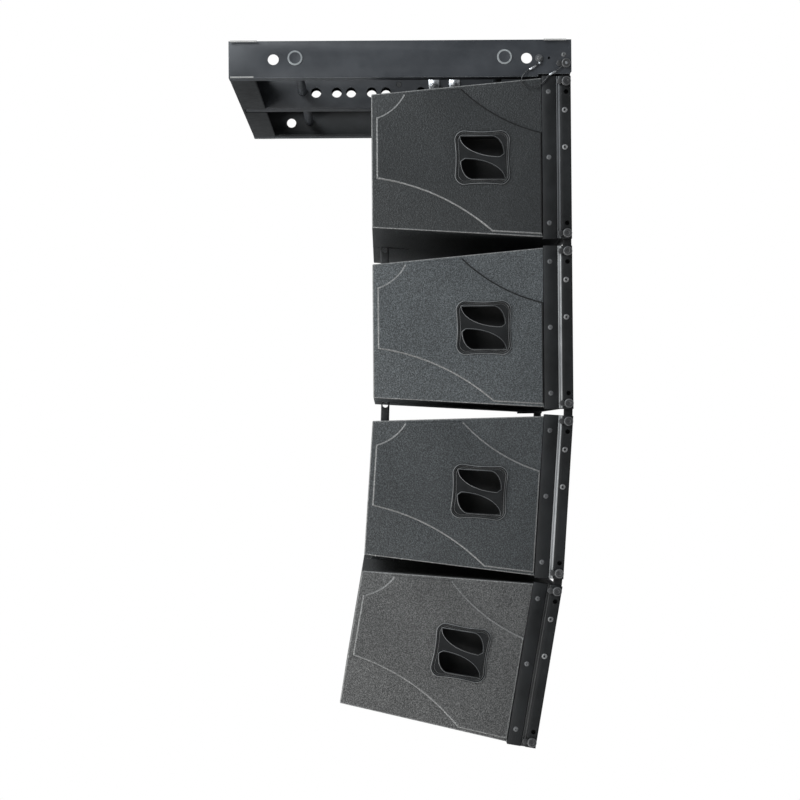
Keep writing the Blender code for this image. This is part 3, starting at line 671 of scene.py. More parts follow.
def inset(outline, distance):
    """The outline moved inward by distance, with mitred corners."""
    area = sum(a[0] * b[1] - b[0] * a[1] for a, b in zip(outline, outline[1:] + outline[:1])) / 2
    turn = 1 if area > 0 else -1
    moved = []
    for i, point in enumerate(outline):
        normals = []
        for start, end in ((outline[i - 1], point), (point, outline[(i + 1) % len(outline)])):
            run_x, run_z = end[0] - start[0], end[1] - start[1]
            length = sqrt(run_x ** 2 + run_z ** 2)
            normals.append((-turn * run_z / length, turn * run_x / length))
        (ax, az), (bx, bz) = normals
        share = distance / (1 + ax * bx + az * bz)
        moved.append((point[0] + (ax + bx) * share, point[1] + (az + bz) * share))
    return moved


def raised_panel(name, outline, y_foot, y_skin, y_top, run):
    """A plate whose face rises from y_skin to y_top in a quarter round, run wide."""
    levels = [(0.0, y_foot)]
    for angle in (0, 22.5, 45, 67.5, 90):
        levels.append((run * (1 - cos(radians(angle))), y_skin + (y_top - y_skin) * sin(radians(angle))))
    bm = bmesh.new()
    rings = [[bm.verts.new((x, y, z)) for x, z in inset(outline, width)] for width, y in levels]
    bm.faces.new(rings[0])
    bm.faces.new(rings[-1])
    for lower, upper in zip(rings, rings[1:]):
        for i in range(len(lower)):
            j = (i + 1) % len(lower)
            bm.faces.new((lower[i], lower[j], upper[j], upper[i]))
    bmesh.ops.recalc_face_normals(bm, faces=bm.faces)
    return from_bmesh(name, bm)


def handle_window(side):
    """The hole for a handle cup in one side wall."""
    half = CUP_HALF_SIZE + 0.0008
    return plate("window", at_handle(squircle((half, half), CUP_CORNER, 0.0, 6)), side * 0.45, side * 0.55)


def wood_shell():
    """The painted enclosure: a hollow wedge with a baffle, driver holes, handle windows and a rear notch."""
    body = rounded(wedge("wood_master", REAR_X, WOOD_FRONT_X, 0.0, WOOD_SIDE_Y), 0.0022, 3)
    for side in (-1, 1):
        cut(body, box("recess", (STRIP_X[0] - 0.001, side * RAIL_SEAT_Y, -PAST_Z),
                      (PAST_X, side * PAST_Y, PAST_Z)))
    cut(body, wedge("chamber", REAR_X + WALL, BAFFLE_X[0], WALL, WOOD_SIDE_Y - WALL))
    join(body, wedge("notch_wall", REAR_X + 0.001, NOTCH_FRONT_X + WALL, 0.001, NOTCH_HALF_WIDTH + WALL))
    cut(body, box("panel_recess", (REAR_X - 0.01, 0.148, -0.052), (REAR_X + 0.009, 0.272, 0.037)))
    cut(body, box("notch", (REAR_X - 0.05, -NOTCH_HALF_WIDTH, -PAST_Z),
                  (NOTCH_FRONT_X, NOTCH_HALF_WIDTH, PAST_Z)))
    cut(body, wedge("mouth", BAFFLE_X[1], 0.05, WALL, MOUTH_HALF_WIDTH))
    through = (-0.09, -0.05)
    for side in (-1, 1):
        y = side * DRIVER_Y
        cut(body, cylinder("driver_hole", DRIVER_HOLE_R, (through[0], y, 0), (through[1], y, 0), 64))
        cut(body, handle_window(side))
    half_y, half_z = HORN_HALF_SIZE
    cut(body, box("horn_hole", (through[0], -half_y, -half_z), (through[1], half_y, half_z)))
    return shaded(body, 40)


def side_pad(side):
    """The raised field of one side panel, its step softened by the paint."""
    body = raised_panel("pad_master", pad_outline(0.006), side * (WOOD_SIDE_Y - 0.0040),
                        side * (WOOD_SIDE_Y - 0.0002), side * HALF_WIDTH, 0.0032)
    cut(body, handle_window(side))
    return shaded(body, 40)


def side_rail(side):
    """Steel side frame: a wide rear plate, a groove and a front rail whose ends are clevises."""
    body = box("rail_master", (STRIP_X[0], side * RAIL_Y, -STRIP_HALF_HEIGHT),
               (STRIP_X[1], side * HALF_WIDTH, STRIP_HALF_HEIGHT))
    cut(body, box("groove", (GROOVE_X[0], side * 0.4935, -PAST_Z), (GROOVE_X[1], side * PAST_Y, PAST_Z)),
        box("relief", (-0.0135, side * 0.4985, -PAST_Z), (PAST_X, side * PAST_Y, PAST_Z)))
    for sign in (-1, 1):
        cut(body, box("clevis", (-0.0165, side * CLEVIS_Y[0], sign * (PIN_Z - 0.014)),
                      (PAST_X, side * CLEVIS_Y[1], sign * PAST_Z)))
    rounded(body, 0.0009)
    for sign in (-1, 1):
        for radius, z, inner in ((PIN_HOLE_R, PIN_Z, 0.45), (0.0052, 0.1425, 0.486)):
            start = (0, side * inner, sign * z)
            end = (0, side * 0.55, sign * z)
            cut(body, cylinder("pin_hole", radius, start, end, 32))
    return shaded(body, 40)


def squircle(half, corner, pinch, steps):
    """A square outline with round corners and sides that bow in by pinch."""
    points = []
    flat = (half[0] - corner, half[1] - corner)
    for quarter, (sign_x, sign_z) in enumerate(((1, 1), (-1, 1), (-1, -1), (1, -1))):
        start = 90 * quarter
        points += arc((sign_x * flat[0], sign_z * flat[1]), (corner, corner), start + 3, start + 87, steps)
        upright = quarter % 2
        run = -sign_z if upright else -sign_x
        for t in (0.7, 0.35, 0.0, -0.35, -0.7):
            dip = pinch * (1 - t * t)
            if upright:
                points.append((sign_x * (half[0] - dip), -run * flat[1] * t))
            else:
                points.append((-run * flat[0] * t, sign_z * (half[1] - dip)))
    return points


def leaf(sign, grow=0.0, steps=10):
    """Finger slot: straight outer edge, round shoulder and a swept inner edge."""
    right, left, high, low = 0.0454 + grow, -0.0473 - grow, 0.0454 + grow, 0.0034 - grow
    shoulder = arc((0.021, 0.008), (right - 0.021, high - 0.008), 90, 0, steps)
    swept = arc((0.0384, high), (0.0384 - left, high - low), 270, 184, steps)
    return [(sign * x, sign * z) for x, z in shoulder + swept + [(left, high)]]


def at_handle(outline):
    return [(HANDLE_X + x, z) for x, z in outline]


def handle(side, name):
    """Recessed handle: rimmed square face with a groove inside the rim, a cup, two leaf slots with lips."""
    face = HALF_WIDTH + 0.0003

    def slab(outline, y_from, y_to):
        return plate("slab", at_handle(outline), side * (face + y_from), side * (face + y_to))

    def rim(step, corner, pinch):
        """The face's outline, moved inward by step."""
        return squircle((HANDLE_HALF_SIZE[0] - step, HANDLE_HALF_SIZE[1] - step), corner, pinch, 8)

    def cup(wall, y_from, y_to):
        """The cup's outline inside a wall, between two heights over the face."""
        half = CUP_HALF_SIZE - wall
        return slab(squircle((half, half), CUP_CORNER - wall, 0.0, 6), y_from, y_to)

    body = rounded(slab(rim(0.0, 0.021, 0.0026), 0.0, 0.0030), 0.0012)
    ring = slab(rim(0.0040, 0.0175, 0.0024), 0.0010, 0.0100)
    cut(ring, slab(rim(0.0080, 0.0150, 0.0022), 0.0, 0.0200))
    cut(body, rounded(ring, 0.0004))
    cut(body, slab(rim(0.0070, 0.0155, 0.0022), 0.0020, 0.0100))
    for sign in (-1, 1):
        join(body, rounded(slab(leaf(sign, 0.0024), 0.0005, 0.0028), 0.0008))
    join(body, cup(0.0, 0.0008, -CUP_DEPTH))
    cut(body, cup(CUP_WALL, -0.0040, CUP_WALL - CUP_DEPTH))
    for sign in (-1, 1):
        cut(body, slab(leaf(sign), -0.0080, 0.0100))
    body.name = name
    return shaded(body)


def dress_handle(obj, body, node):
    """Grained face, painted highlights on the rims, and painted shade in the cup and on the groove's floor.
    """
    def in_cup(face):
        depth = abs(face.center.y) - HALF_WIDTH
        return depth < -0.0005 or (depth < 0.0016 and abs(face.normal.y) > 0.97)

    dress(obj, "plastic", body, [node])
    # Painted highlights on the rounded rims.
    edged(obj, "plastic_edge", 0.10, 0.97, HALF_WIDTH)
    # Painted shade in the cup and on the groove's floor.
    repaint(obj, "cavity", in_cup)


def hex_sheet(name, half_y, low_z, high_z, x, thickness):
    """Perforated sheet: a honeycomb of hexagonal holes between straight borders."""
    pitch, hole, border = 0.0100, 0.0041, 0.012
    cell = pitch / sqrt(3)
    row_step = pitch * sqrt(3) / 2
    corners = [(cos(radians(60 * k + 30)), sin(radians(60 * k + 30))) for k in range(6)]
    bm = bmesh.new()
    rows = int((high_z - low_z - border) / row_step)
    columns = int((2 * half_y - border) / pitch)
    mid_z = (high_z + low_z) / 2
    for row in range(rows):
        z = mid_z + (row - (rows - 1) / 2) * row_step
        shift = 0.25 if row % 2 else -0.25
        for column in range(columns):
            y = (column - (columns - 1) / 2 + shift) * pitch
            outer = [bm.verts.new((x, y + cell * a, z + cell * b)) for a, b in corners]
            inner = [bm.verts.new((x, y + hole * a, z + hole * b)) for a, b in corners]
            back = [bm.verts.new((x - thickness, y + hole * a, z + hole * b)) for a, b in corners]
            for k in range(6):
                j = (k + 1) % 6
                bm.faces.new((outer[k], outer[j], inner[j], inner[k]))
                bm.faces.new((inner[k], inner[j], back[j], back[k]))
    bmesh.ops.remove_doubles(bm, verts=bm.verts, dist=1e-5)
    return from_bmesh(name, bm)


def grille_mesh():
    """The front grille: perforated sheet on a folded tray with a plain border."""
    half_y, low, high, front = 0.4715, -0.1742, 0.1752, 0.0040
    fold, face, border, sheet_margin = 0.0016, 0.0014, 0.0085, 0.004
    tray = box("tray", (-0.0117, -half_y, low), (front, half_y, high))
    cut(tray, box("inside", (-PAST_X, -half_y + fold, low + fold),
                  (front - face, half_y - fold, high - fold)))
    cut(tray, box("window", (-PAST_X, -half_y + border, low + border),
                  (PAST_X, half_y - border, high - border)))
    rounded(tray, 0.0012)
    sheet = hex_sheet("sheet", half_y - sheet_margin, low + sheet_margin, high - sheet_margin,
                      front - 0.0006, 0.0012)
    return merged("grille_master", [tray, sheet])


def woofer_mesh():
    """Driver with dust cap, ribbed cone, rolled surround, rim, basket and magnet."""
    cap_r, cap_z, cone_width, cone_rise, rib = 0.040, -0.0275, 0.080, 0.022, 0.0006
    roll_r, roll_z = 0.130, -0.004
    profile = [(0, -0.014), (0.016, -0.0155), (0.034, -0.021), (cap_r, cap_z)]
    for i, t in enumerate((0.1, 0.25, 0.4, 0.55, 0.7, 0.85, 1.0)):
        profile.append((cap_r + cone_width * t, cap_z + cone_rise * t ** 0.85 + rib * (i % 2)))
    for angle in range(165, -1, -33):
        profile.append((roll_r + 0.0085 * cos(radians(angle)), roll_z + 0.0065 * sin(radians(angle))))
    profile += [(0.1405, 0.0036), (0.1515, 0.0036), (0.1525, 0.0028), (0.1525, 0.0003), (0.1378, 0.0003),
                (0.1378, -0.014), (0.092, -0.078), (0.084, -0.082), (0.084, -0.128), (0.080, -0.1298),
                (0, -0.1298)]
    return turned("woofer_master", profile, (0, 0, 0), (1, 0, 0), steps=64)


def connector_panel():
    """Rear input plate with two round twist-lock sockets and four screws."""
    x = REAR_X + 0.0088
    panel = rounded(box("panel", (x - 0.0030, 0.150, -0.050), (x - 0.0002, 0.270, 0.035)), 0.0012)
    pieces = [panel]
    for y in (0.185, 0.235):
        ring = [(0, -0.004), (0.0085, -0.004), (0.0095, 0.0036), (0.0122, 0.0046), (0.0150, 0.0040),
                (0.0156, 0.0), (0, 0.0)]
        pieces.append(turned("socket", ring, (x - 0.0030, y, -0.008), (-1, 0, 0), steps=40))
    for y in (0.158, 0.262):
        for z in (-0.042, 0.027):
            pieces.append(socket_screw("panel_screw", (x - 0.0030, y, z), (-1, 0, 0), 0.0030))
    return merged("connector_panel_master", pieces)


def strip_screws(side):
    """Socket screws along the rear plate of one side frame."""
    outside = side * (HALF_WIDTH + 0.0002)
    screws = [socket_screw("strip_screw", (STRIP_SCREW_X, outside, z), (0, side, 0), 0.0042)
              for z in (-STRIP_SCREW_Z, 0.0, STRIP_SCREW_Z)]
    return merged("strip_screws_master", screws)


def ringed_screws(side):
    """The two domed screws of the front rail, each in a bright cup washer."""
    profile = [(0, 0.0004), (0.0022, 0.0004), (0.0033, 0.0018), (0.0046, 0.0015), (0.0058, 0.0006),
               (0.0060, -0.0004), (0, -0.0004)]
    rail = side * (HALF_WIDTH - 0.0011)
    screws = [turned("ringed_screw", profile, (RINGED_SCREW_X, rail, z), (0, side, 0), 28)
              for z in RINGED_SCREW_Z]
    return merged("ringed_screws_master", screws)


def groove_lip(side):
    """Folded edge of the grille surround in the groove of the side frame: two lips and a sunk middle."""
    y = side * 0.4937
    rear, front = GROOVE_X[0] + 0.0010, GROOVE_X[1] - 0.0004
    lip = box("groove_lip_master", (rear, y, -0.1755), (front, y + side * 0.0046, 0.1765))
    cut(lip, box("sunk", (rear + 0.0026, y + side * 0.0026, -0.2), (front - 0.0026, y + side * 0.01, 0.2)))
    return rounded(lip, 0.0005)


def shared(master, name, matrix):
    """A copy of a master mesh, moved into place."""
    obj = add_object(name, master.data.copy())
    return put(obj, matrix)


def build_cabinets():
    masters = {
        "grille": grille_mesh(),
        "woofer": woofer_mesh(),
        "panel": connector_panel(),
        "wood": wood_shell(),
    }
    for side, word in SIDES:
        masters["pad_" + word] = side_pad(side)
        masters["rail_" + word] = side_rail(side)
        masters["handle_" + word] = handle(side, "handle_master")
        masters["screws_" + word] = strip_screws(side)
        masters["rings_" + word] = ringed_screws(side)
        masters["lip_" + word] = groove_lip(side)
    for number in CABINETS:
        body = f"cabinet_{number}"
        name = f"cab{number}_"
        to_world = cabinet_matrix(number)
        shell = shared(masters["wood"], name + "wood_shell", to_world)
        # The cabinet's own level and tint of the one paint: painted light and shade.
        dress(shell, f"paint_{number}", body, [name + "enclosure"])
        # Painted highlights on the shell's rounded side edges.
        edged(shell, "paint_edge", beyond=HALF_WIDTH - 0.0100)
        face = shaded(shared(masters["grille"], name + "perforated_grille", to_world))
        dress(face, "grille", body, [name + "grille"])
        horn = rounded(copy_of(name + "hf_horn", name + "waveguide"), 0.0015)
        dress(horn, "horn", body, [name + "hf_horn"])
        panel = shaded(shared(masters["panel"], name + "connector_panel", to_world))
        dress(panel, "rail", body)
        for side, word in SIDES:
            grip = shared(masters["handle_" + word], f"{name}handle_moulding_{word}", to_world)
            dress_handle(grip, body, f"{name}handle_{word}")
            pad = shared(masters["pad_" + word], f"{name}side_pad_{word}", to_world)
            # The pad takes its cabinet's level of the one paint: painted light and shade.
            dress(pad, f"paint_{number}", body)
            pad_edges(pad, number)
            rail = shared(masters["rail_" + word], f"{name}side_rail_{word}", to_world)
            dress(rail, "rail", body, [f"{name}side_frame_{word}"])
            screws = shaded(shared(masters["screws_" + word], f"{name}rail_screws_{word}", to_world))
            dress(screws, "screw", body)
            rings = shaded(shared(masters["rings_" + word], f"{name}front_rail_screws_{word}", to_world))
            edged(dress(rings, "rail", body), "screw_ring", 0.10, 0.985)
            lip = shared(masters["lip_" + word], f"{name}groove_lip_{word}", to_world)
            # The lip's grey on this cabinet is painted light and shade.
            dress(shaded(lip), LIP_LIGHT_AND_SHADE[number - 1], body)
            seat = to_world @ Matrix.Translation((BAFFLE_X[1], side * DRIVER_Y, 0))
            driver = shared(masters["woofer"], f"{name}woofer_cone_{word}", seat)
            dress(shaded(driver), "cone", body, [f"{name}woofer_{word}"])
    for master in masters.values():
        bpy.data.objects.remove(master, do_unlink=True)


# ---------------------------------------------------------------- flying frame

def side_beam(side):
    """C-channel side beam, open inward, with end plates, pin holes and a cut-back front foot."""
    z_low, z_high = FRAME_Z - BEAM_HALF_HEIGHT, FRAME_Z + BEAM_HALF_HEIGHT
    rear, front = FRAME_X
    web = HALF_WIDTH - SHEET
    body = box("side_beam", (rear, side * BEAM_INNER_Y, z_low), (front, side * HALF_WIDTH, z_high))
    cut(body, box("channel", (rear + SHEET, side * 0.440, z_low + SHEET),
                  (front - SHEET, side * web, z_high - SHEET)))
    cut(body, box("foot", (LINK_PIN[0] + STRIP_X[0] - 0.008, side * 0.4, z_low - 0.02),
                  (front + 0.02, side * PAST_Y, z_low + 0.0055)))
    cut(body, box("link_way", (LINK_PIN[0] - 0.016, side * 0.4695, z_low - 0.02),
                  (front + 0.02, side * web, FRAME_Z + 0.002)))
    corner = [(front - 0.010, z_low), (front + 0.01, z_low), (front + 0.01, z_low + 0.020)]
    cut(body, plate("corner", corner, side * 0.4, side * PAST_Y))
    rounded(body, 0.0022, 3)
    if side < 0:
        x, z = LANYARD_BOSS
        join(body, cylinder("boss", LANYARD_BOSS_R, (x, side * 0.498, z), (x, side * 0.507, z), 24))
    holes = [(x, FRAME_Z, HOIST_HOLE_R) for x in BEAM_HOLE_X]
    holes += [(x, TIE_Z, TIE_HOLE_R) for x in TIE_X]
    holes += [(*LINK_PIN, PIN_HOLE_R), (0.2080, FRAME_Z, 0.0028)]
    for x, z, radius in holes:
        cut(body, cylinder("hole", radius, (x, side * 0.48, z), (x, side * 0.52, z), 40))
    return shaded(body, 40)


def centre_bar():
    """Box-section pick-up bar with its row of hoist holes, the shackle lug and the strut's slot."""
    rear, front = FRAME_X[0] + 0.0063, FRAME_X[1] - 0.0063
    low, high = BAR_Z
    inside = BAR_HALF_WIDTH - BAR_WALL
    body = rounded(box("frame_pickup_bar", (rear, -BAR_HALF_WIDTH, low), (front, BAR_HALF_WIDTH, high)),
                   0.0030, 3)
    cut(body, box("inside", (rear - 0.1, -inside, low + BAR_WALL), (front + 0.1, inside, high - BAR_WALL)))
    lug = arc((0, 0), (LUG_R, LUG_R), 0, 180, 24) + [(-0.030, high - 0.001), (0.030, high - 0.001)]
    lug_plate = rounded(plate("lug", lug, -LUG_HALF_THICKNESS, LUG_HALF_THICKNESS), 0.0010)
    join(body, put(lug_plate, Matrix.Rotation(pi / 2, 4, "Z")))
    cut(body, cylinder("lug_hole", 0.0090, (-0.05, 0, 0), (0.05, 0, 0), 32))
    pickups, x = [], PICKUP_FIRST_X
    for i in range(9):
        pickups.append(x)
        x += PICKUP_STEPS[i % 2]
    strut_x = RECORD_JOINTS["strut_swing_1"]["pos_m"][0]
    holes = [(x, FRAME_Z, HOIST_HOLE_R) for x in pickups if abs(x - strut_x) > 0.020]
    holes += [(x, TIE_Z, TIE_HOLE_R) for x in TIE_X]
    holes.append((strut_x, FRAME_Z + 0.018, PIN_HOLE_R))
    for x, z, radius in holes:
        cut(body, cylinder("hole", radius, (x, -0.05, z), (x, 0.05, z), 32))
    cut(body, box("strut_slot", (strut_x - 0.018, -STRUT_SLOT_HALF_WIDTH, low - 0.01),
                  (strut_x + 0.014, STRUT_SLOT_HALF_WIDTH, low + 0.01)))
    return shaded(body, 40)


def build_beams():
    """Both side beams, with painted shade on their inward faces and painted highlights on their rounded
    edges, each with the screw at its front end.
    """
    for side, word in SIDES:
        def faces_inward(face):
            inside = abs(face.center.y) < 0.4965 and side * face.normal.y < 0.5
            return inside and abs(face.normal.z) < 0.5

        beam = side_beam(side)
        beam.name = f"frame_beam_{word}"
        dress_frame(beam, "frame", f"frame_side_beam_{word}")
        # Painted highlights on the beam's rounded outer edges.
        edged(beam, "frame_edge", beyond=0.497)
        # Painted shade on the beam's inward faces.
        repaint(beam, "frame_inside", faces_inward)
        place = (END_SCREW[0], side * 0.5003, END_SCREW[1])
        marks = merged(f"frame_end_screw_{word}", [socket_screw("end_screw", place, (0, side, 0), 0.0044)])
        dress_frame(shaded(marks), "screw")


def build_cross_channels():
    """The rear and front channels, with painted shade on all but their tops and outer faces."""
    for node, outward in (("frame_rear_channel", -1), ("frame_front_channel", 1)):
        piece = rounded(copy_of(node, node + "_coated"), 0.0016)
        dress_frame(piece, "frame", node)
        # Painted shade on all of the channel's faces but the top and outer ones.
        repaint(piece, "frame_inside", lambda face: face.normal.z < 0.5 and outward * face.normal.x < 0.5)


def build_tie_tubes():
    """The tie tubes, each end a domed disc in a ring with a painted highlight."""
    for end in ("rear", "front"):
        node = "frame_tie_tube_" + end
        low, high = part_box(node)
        centre = [(a + b) / 2 for a, b in zip(low, high)]
        half = (high[1] - low[1]) / 2
        shank = half - 0.0017
        profile = [(0, half - 0.0006), (0.0100, half - 0.0004), (0.0125, half), (0.0156, half - 0.0002),
                   (0.0162, half - 0.0008), (0.0162, shank), (0.0100, shank)]
        profile += [(radius, -height) for radius, height in reversed(profile)]

        def in_ring(face):
            away = sqrt((face.center.x - centre[0]) ** 2 + (face.center.z - centre[2]) ** 2)
            return abs(face.center.y) > HALF_WIDTH and away > 0.0138

        bar = turned(node + "_bar", profile, centre, (0, 1, 0), steps=40)
        dress_frame(bar, "frame", node)
        # Painted highlight on the disc's outer ring.
        repaint(bar, "frame_edge", in_ring)


def build_frame():
    build_beams()
    build_cross_channels()
    # The centre bar takes the darker coat: painted shade.
    dress_frame(centre_bar(), "frame_bar", "frame_centre_bar")
    build_tie_tubes()
    build_welds()
    build_lug_bolts()


def build_lug_bolts():
    """Two bright bolts through the centre bar that hold the shackle lug, with thick square washers."""
    pieces = []
    z = LUG_BOLT_Z
    for side in (-1, 1):
        for x in LUG_BOLT_X:
            washer = box("washer", (x - 0.0125, side * 0.0252, z - 0.0135),
                         (x + 0.0125, side * 0.0292, z + 0.0135))
            pieces.append(rounded(washer, 0.0012))
            nut = cylinder("nut", 0.0100, (x, side * 0.0290, z), (x, side * 0.0370, z), 6)
            pieces.append(rounded(nut, 0.0008))
            end = cylinder("thread", 0.0055, (x, side * 0.0365, z), (x, side * 0.0400, z), 20)
            pieces.append(rounded(end, 0.0006))
    dress_frame(shaded(merged("frame_lug_bolts", pieces)), "zinc")


def weld_bead(name, start, end, radius):
    """A rippled weld bead between two points."""
    start, end = Vector(start), Vector(end)
    length = (end - start).length
    ring_step, ripple, ripple_depth = 0.0016, 0.0042, 0.14
    count = max(8, int(length / ring_step))
    points = [start.lerp(end, i / count) for i in range(count + 1)]
    bead = tube(name, points, radius, 3)
    axis = (end - start).normalized()
    for vertex in bead.data.vertices:
        offset = vertex.co - start
        along = offset.dot(axis)
        middle = start + axis * along
        swell = 1.0 + ripple_depth * sin(along * 2 * pi / ripple)
        vertex.co = middle + (vertex.co - middle) * swell
    return bead


def build_welds():
    """Beads along the outer edges of the side beams, at their closed corners."""
    low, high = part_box("frame_side_beam_right")
    left_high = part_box("frame_side_beam_left")[1]
    z_top, z_bottom = high[2] - 0.0012, low[2] + 0.0012
    runs = (
        (low[0] + 0.004, low[0] + 0.062, z_top),
        (low[0] + 0.004, low[0] + 0.054, z_bottom),
        (high[0] - 0.060, high[0] - 0.012, z_top),
    )
    # The right beam's box reaches out to its lanyard boss, so the right beads stand off its face.
    beads = []
    for y in (low[1] + 0.0010, left_high[1] - 0.0010):
        for x_from, x_to, z in runs:
            beads.append(weld_bead("bead", (x_from, y, z), (x_to, y, z), WELD_R))
    # The beads' light grey is a painted highlight along the welds.
    dress_frame(shaded(merged("frame_corner_welds", beads), 50), "weld")


def build_shackle():
    """Forged bow shackle, its pin and nut, in bright zinc."""
    ear_in, ear_out = SHACKLE_EAR_X
    middle = (ear_in + ear_out) / 2
    foot = [(middle, 0, 0.006), (middle, 0, 0.016)]
    bow = arc((0, SHACKLE_BOW_Z), (SHACKLE_BOW_R, SHACKLE_BOW_R), -15, 195, 36)
    path = foot + [(x, 0, z) for x, z in bow] + [(-x, y, z) for x, y, z in reversed(foot)]
    body = tube("shackle_forging", path, SHACKLE_ROD_R, 6)
    for side in (-1, 1):
        ear = cylinder("ear", SHACKLE_EAR_R, (side * ear_in, 0, 0), (side * ear_out, 0, 0), 40)
        join(body, rounded(ear, 0.0012))
    cut(body, cylinder("eye", SHACKLE_EYE_R, (-0.06, 0, 0), (0.06, 0, 0), 32))
    dress(shaded(body), "zinc", "shackle", ["shackle_bow"])
    end = ear_out + 0.0004
    pin = [(0, -end - 0.0140), (0.0070, -end - 0.0140), (0.0078, -end - 0.0132), (0.0078, end + 0.0010),
           (0.0120, end + 0.0004), (0.0128, end + 0.0012), (0.0128, end + 0.0060), (0.0118, end + 0.0070),
           (0, end + 0.0070)]
    shank = turned("shackle_pin_turned", pin, (0, 0, 0), (1, 0, 0), 36)
    nut = rounded(cylinder("nut", 0.0126, (-end, 0, 0), (-end - 0.0100, 0, 0), 6), 0.0008)
    bolt = merged("shackle_pin_and_nut", [shank, nut])
    dress(shaded(bolt), "zinc", "flying_frame", ["shackle_pin"])


def build_struts():
    """Rear struts: flat bars on cross pins, with a row of splay holes and a lock pin in the second."""
    for number in CABINETS:
        node = f"rear_strut_{number}"
        pin = Vector(RECORD_JOINTS[f"strut_swing_{number}"]["pos_m"])
        length, pin_half = (0.126, 0.0245) if number == 1 else (0.128, 0.0115)
        bar = dog_bone(0, 0, STRUT_HALF_WIDTH - length, STRUT_HALF_WIDTH,
                       -STRUT_HALF_THICKNESS, STRUT_HALF_THICKNESS)
        rounded(bar, 0.0008)
        for z in STRUT_HOLES:
            cut(bar, cylinder("splay_hole", 0.0065, (0, -0.02, z), (0, 0.02, z), 24))
        join(bar, cylinder("pin", PIN_R, (0, -pin_half, 0), (0, pin_half, 0), 24))
        lock = STRUT_HOLES[1]
        join(bar, cylinder("lock_pin", 0.0068, (0, -0.0095, lock), (0, 0.0095, lock), 24))
        bar.name = node + "_bar"
        lean = radians((TILTS[number - 1] + (0.0, *TILTS)[number - 1]) / 2)
        put(shaded(bar), Matrix.Translation(pin) @ Matrix.Rotation(lean, 4, "Y"))
        dress(bar, "strut", f"strut_{number}", [node])


# ---------------------------------------------------------------- lanyard

def smooth_route(points, step):
    """Points about step apart on a smooth curve through the given ones."""
    fine = 12
    guide = [2 * points[0] - points[1], *points, 2 * points[-1] - points[-2]]
    dense = []
    for p, q, r, v in zip(guide, guide[1:], guide[2:], guide[3:]):
        for i in range(fine):
            t = i / fine
            dense.append(q + 0.5 * t * (r - p + t * (2 * p - 5 * q + 4 * r - v + t * (3 * (q - r) + v - p))))
    kept = [points[0]]
    for point in dense:
        if (point - kept[-1]).length >= step:
            kept.append(point)
    kept[-1] = points[-1]
    return kept


def build_lanyard():
    """The coated wire that keeps the right top link's pin, its eyelet on the beam and its ferrules."""
    boss_x, boss_z = LANYARD_BOSS
    reach, lean = KNOB_R + 0.0003, radians(218)
    start = (boss_x, boss_z - LANYARD_BOSS_R - 0.0003)
    end = (LINK_PIN[0] + reach * cos(lean), LINK_PIN[1] + reach * sin(lean))
    way = [Vector((x, LANYARD_Y, z)) for x, z in (start, *LANYARD_ROUTE, end)]
    line = smooth_route(way, 2 * LANYARD_R)
    wire = tube("pin_lanyard_wire", line, LANYARD_R, 3)
    dress(wire, "cable", "flying_frame", ["pin_lanyard"])
    ferrules = []
    for (x1, z1), (x2, z2) in FERRULES:
        sleeve = cylinder("ferrule", 0.0026, (x1, LANYARD_Y, z1), (x2, LANYARD_Y, z2), 20)
        ferrules.append(rounded(sleeve, 0.0005))
    sleeves = shaded(merged("pin_lanyard_ferrules", ferrules))
    dress(sleeves, "ferrule", "flying_frame")
    eyelet = [(0.0046, -0.0010), (0.0080, -0.0010), (0.0084, 0.0), (0.0080, 0.0010), (0.0046, 0.0010),
              (0.0046, -0.0010)]
    ring = turned("lanyard_eyelet", eyelet, (boss_x, -0.5018, boss_z), (0, -1, 0), 28)
    screw = socket_screw("eyelet_screw", (boss_x, -0.5071, boss_z), (0, -1, 0), 0.0044)
    dress_frame(shaded(merged("pin_lanyard_eyelet", [ring, screw])), "screw")


# ---------------------------------------------------------------- studio

AMBIENT = 0.22
AMBIENT_COLOUR = (0.93, 0.97, 1.0, 1)
AIM = (0.0, 0.0, -0.8)
FLOOR_LOW = (-5, -5, -2.62)
FLOOR_HIGH = (5, 4.4, -2.60)
# Each light: its name, place, size, power in watts and colour.
LIGHTS = (
    ("key", (-2.8, -3.6, 2.0), 2.6, 290, (0.92, 0.97, 1.0)),
    ("low_fill", (-2.6, -4.6, -2.1), 1.8, 65, (1.0, 0.99, 0.97)),
    ("rear_low", (-3.6, -1.6, -2.2), 1.4, 150, (1.0, 0.98, 0.95)),
    ("right_rim", (3.4, -1.2, 0.4), 1.6, 60, (1.0, 1.0, 1.0)),
)
# The camera's place, its lens in millimetres, and its turn, tilt and roll in degrees.
CAMERA_EYE = (-0.1601, -5.3745, -0.8775)
CAMERA_LENS = 101.52
CAMERA_YAW = 0.4667
CAMERA_PITCH = 0.8952
CAMERA_ROLL = 0.4306


def area_light(name, location, size, power, colour, target):
    light = bpy.data.lights.new(name, "AREA")
    light.shape = "SQUARE"
    light.size = size
    light.energy = power
    light.color = colour
    obj = bpy.data.objects.new(name, light)
    obj.location = location
    obj.rotation_euler = (Vector(target) - Vector(location)).to_track_quat("-Z", "Y").to_euler()
    bpy.context.scene.collection.objects.link(obj)


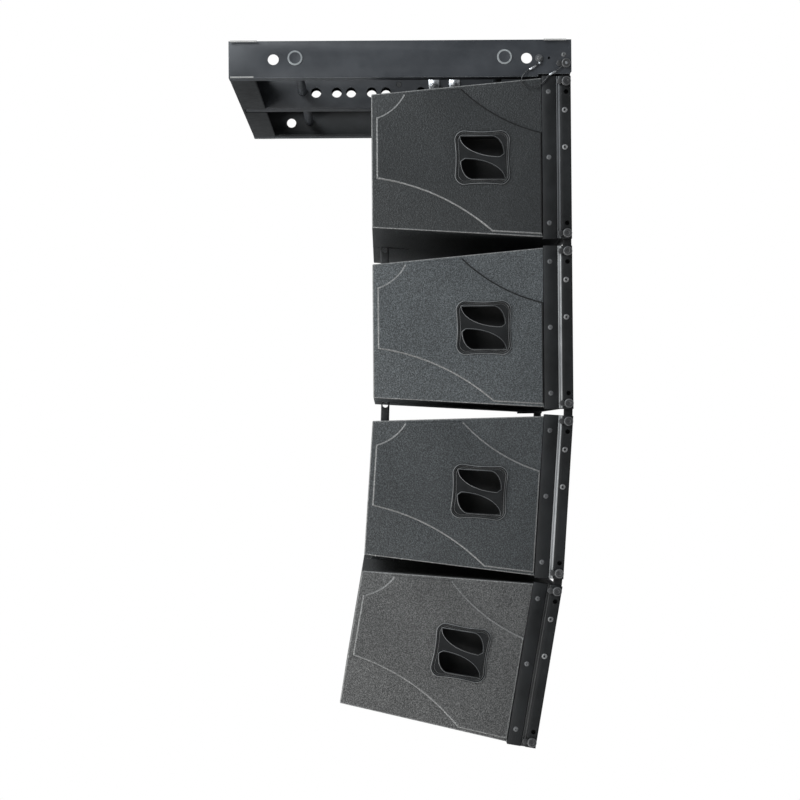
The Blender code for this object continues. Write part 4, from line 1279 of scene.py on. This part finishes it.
def build_studio():
    scene = bpy.context.scene
    scene.view_settings.view_transform = "Standard"
    world = bpy.data.worlds.new("white_studio")
    world.use_nodes = True
    tree = world.node_tree
    seen = tree.nodes["Background"]
    seen.inputs["Color"].default_value = (1, 1, 1, 1)
    ambient = tree.nodes.new("ShaderNodeBackground")
    ambient.inputs["Color"].default_value = AMBIENT_COLOUR
    ambient.inputs["Strength"].default_value = AMBIENT
    rays = tree.nodes.new("ShaderNodeLightPath")
    mix = tree.nodes.new("ShaderNodeMixShader")
    tree.links.new(rays.outputs["Is Camera Ray"], mix.inputs[0])
    tree.links.new(ambient.outputs[0], mix.inputs[1])
    tree.links.new(seen.outputs[0], mix.inputs[2])
    tree.links.new(mix.outputs[0], tree.nodes["World Output"].inputs["Surface"])
    scene.world = world
    floor = box("studio_floor", FLOOR_LOW, FLOOR_HIGH)
    n = Nodes("pale_floor")
    tone = n.ramp(n.noise(1.5, 2.0), [(0.3, 0.92), (0.7, 0.96)])
    floor.data.materials.append(n.finish(Base_Color=tone, Roughness=0.9))
    for light in LIGHTS:
        area_light(*light, AIM)


def build_camera():
    """Camera nearly square to the right side, below half height, tilted up and rolled by about a degree."""
    camera = bpy.data.cameras.new("camera")
    camera.lens = CAMERA_LENS
    camera.sensor_width = 36.0
    yaw, pitch, roll = radians(CAMERA_YAW), radians(CAMERA_PITCH), radians(CAMERA_ROLL)
    forward = Vector((sin(yaw), cos(yaw) * cos(pitch), sin(pitch))).normalized()
    right = forward.cross(Vector((0, 0, 1))).normalized()
    up = right.cross(forward)
    right, up = right * cos(roll) - up * sin(roll), up * cos(roll) + right * sin(roll)
    matrix = Matrix((right, up, -forward)).transposed().to_4x4()
    obj = bpy.data.objects.new("camera", camera)
    obj.matrix_world = Matrix.Translation(CAMERA_EYE) @ matrix
    bpy.context.scene.collection.objects.link(obj)
    bpy.context.scene.camera = obj


build_camera()
build_lanyard()
build_studio()
build_frame()
build_shackle()
build_struts()
build_links()
build_cabinets()
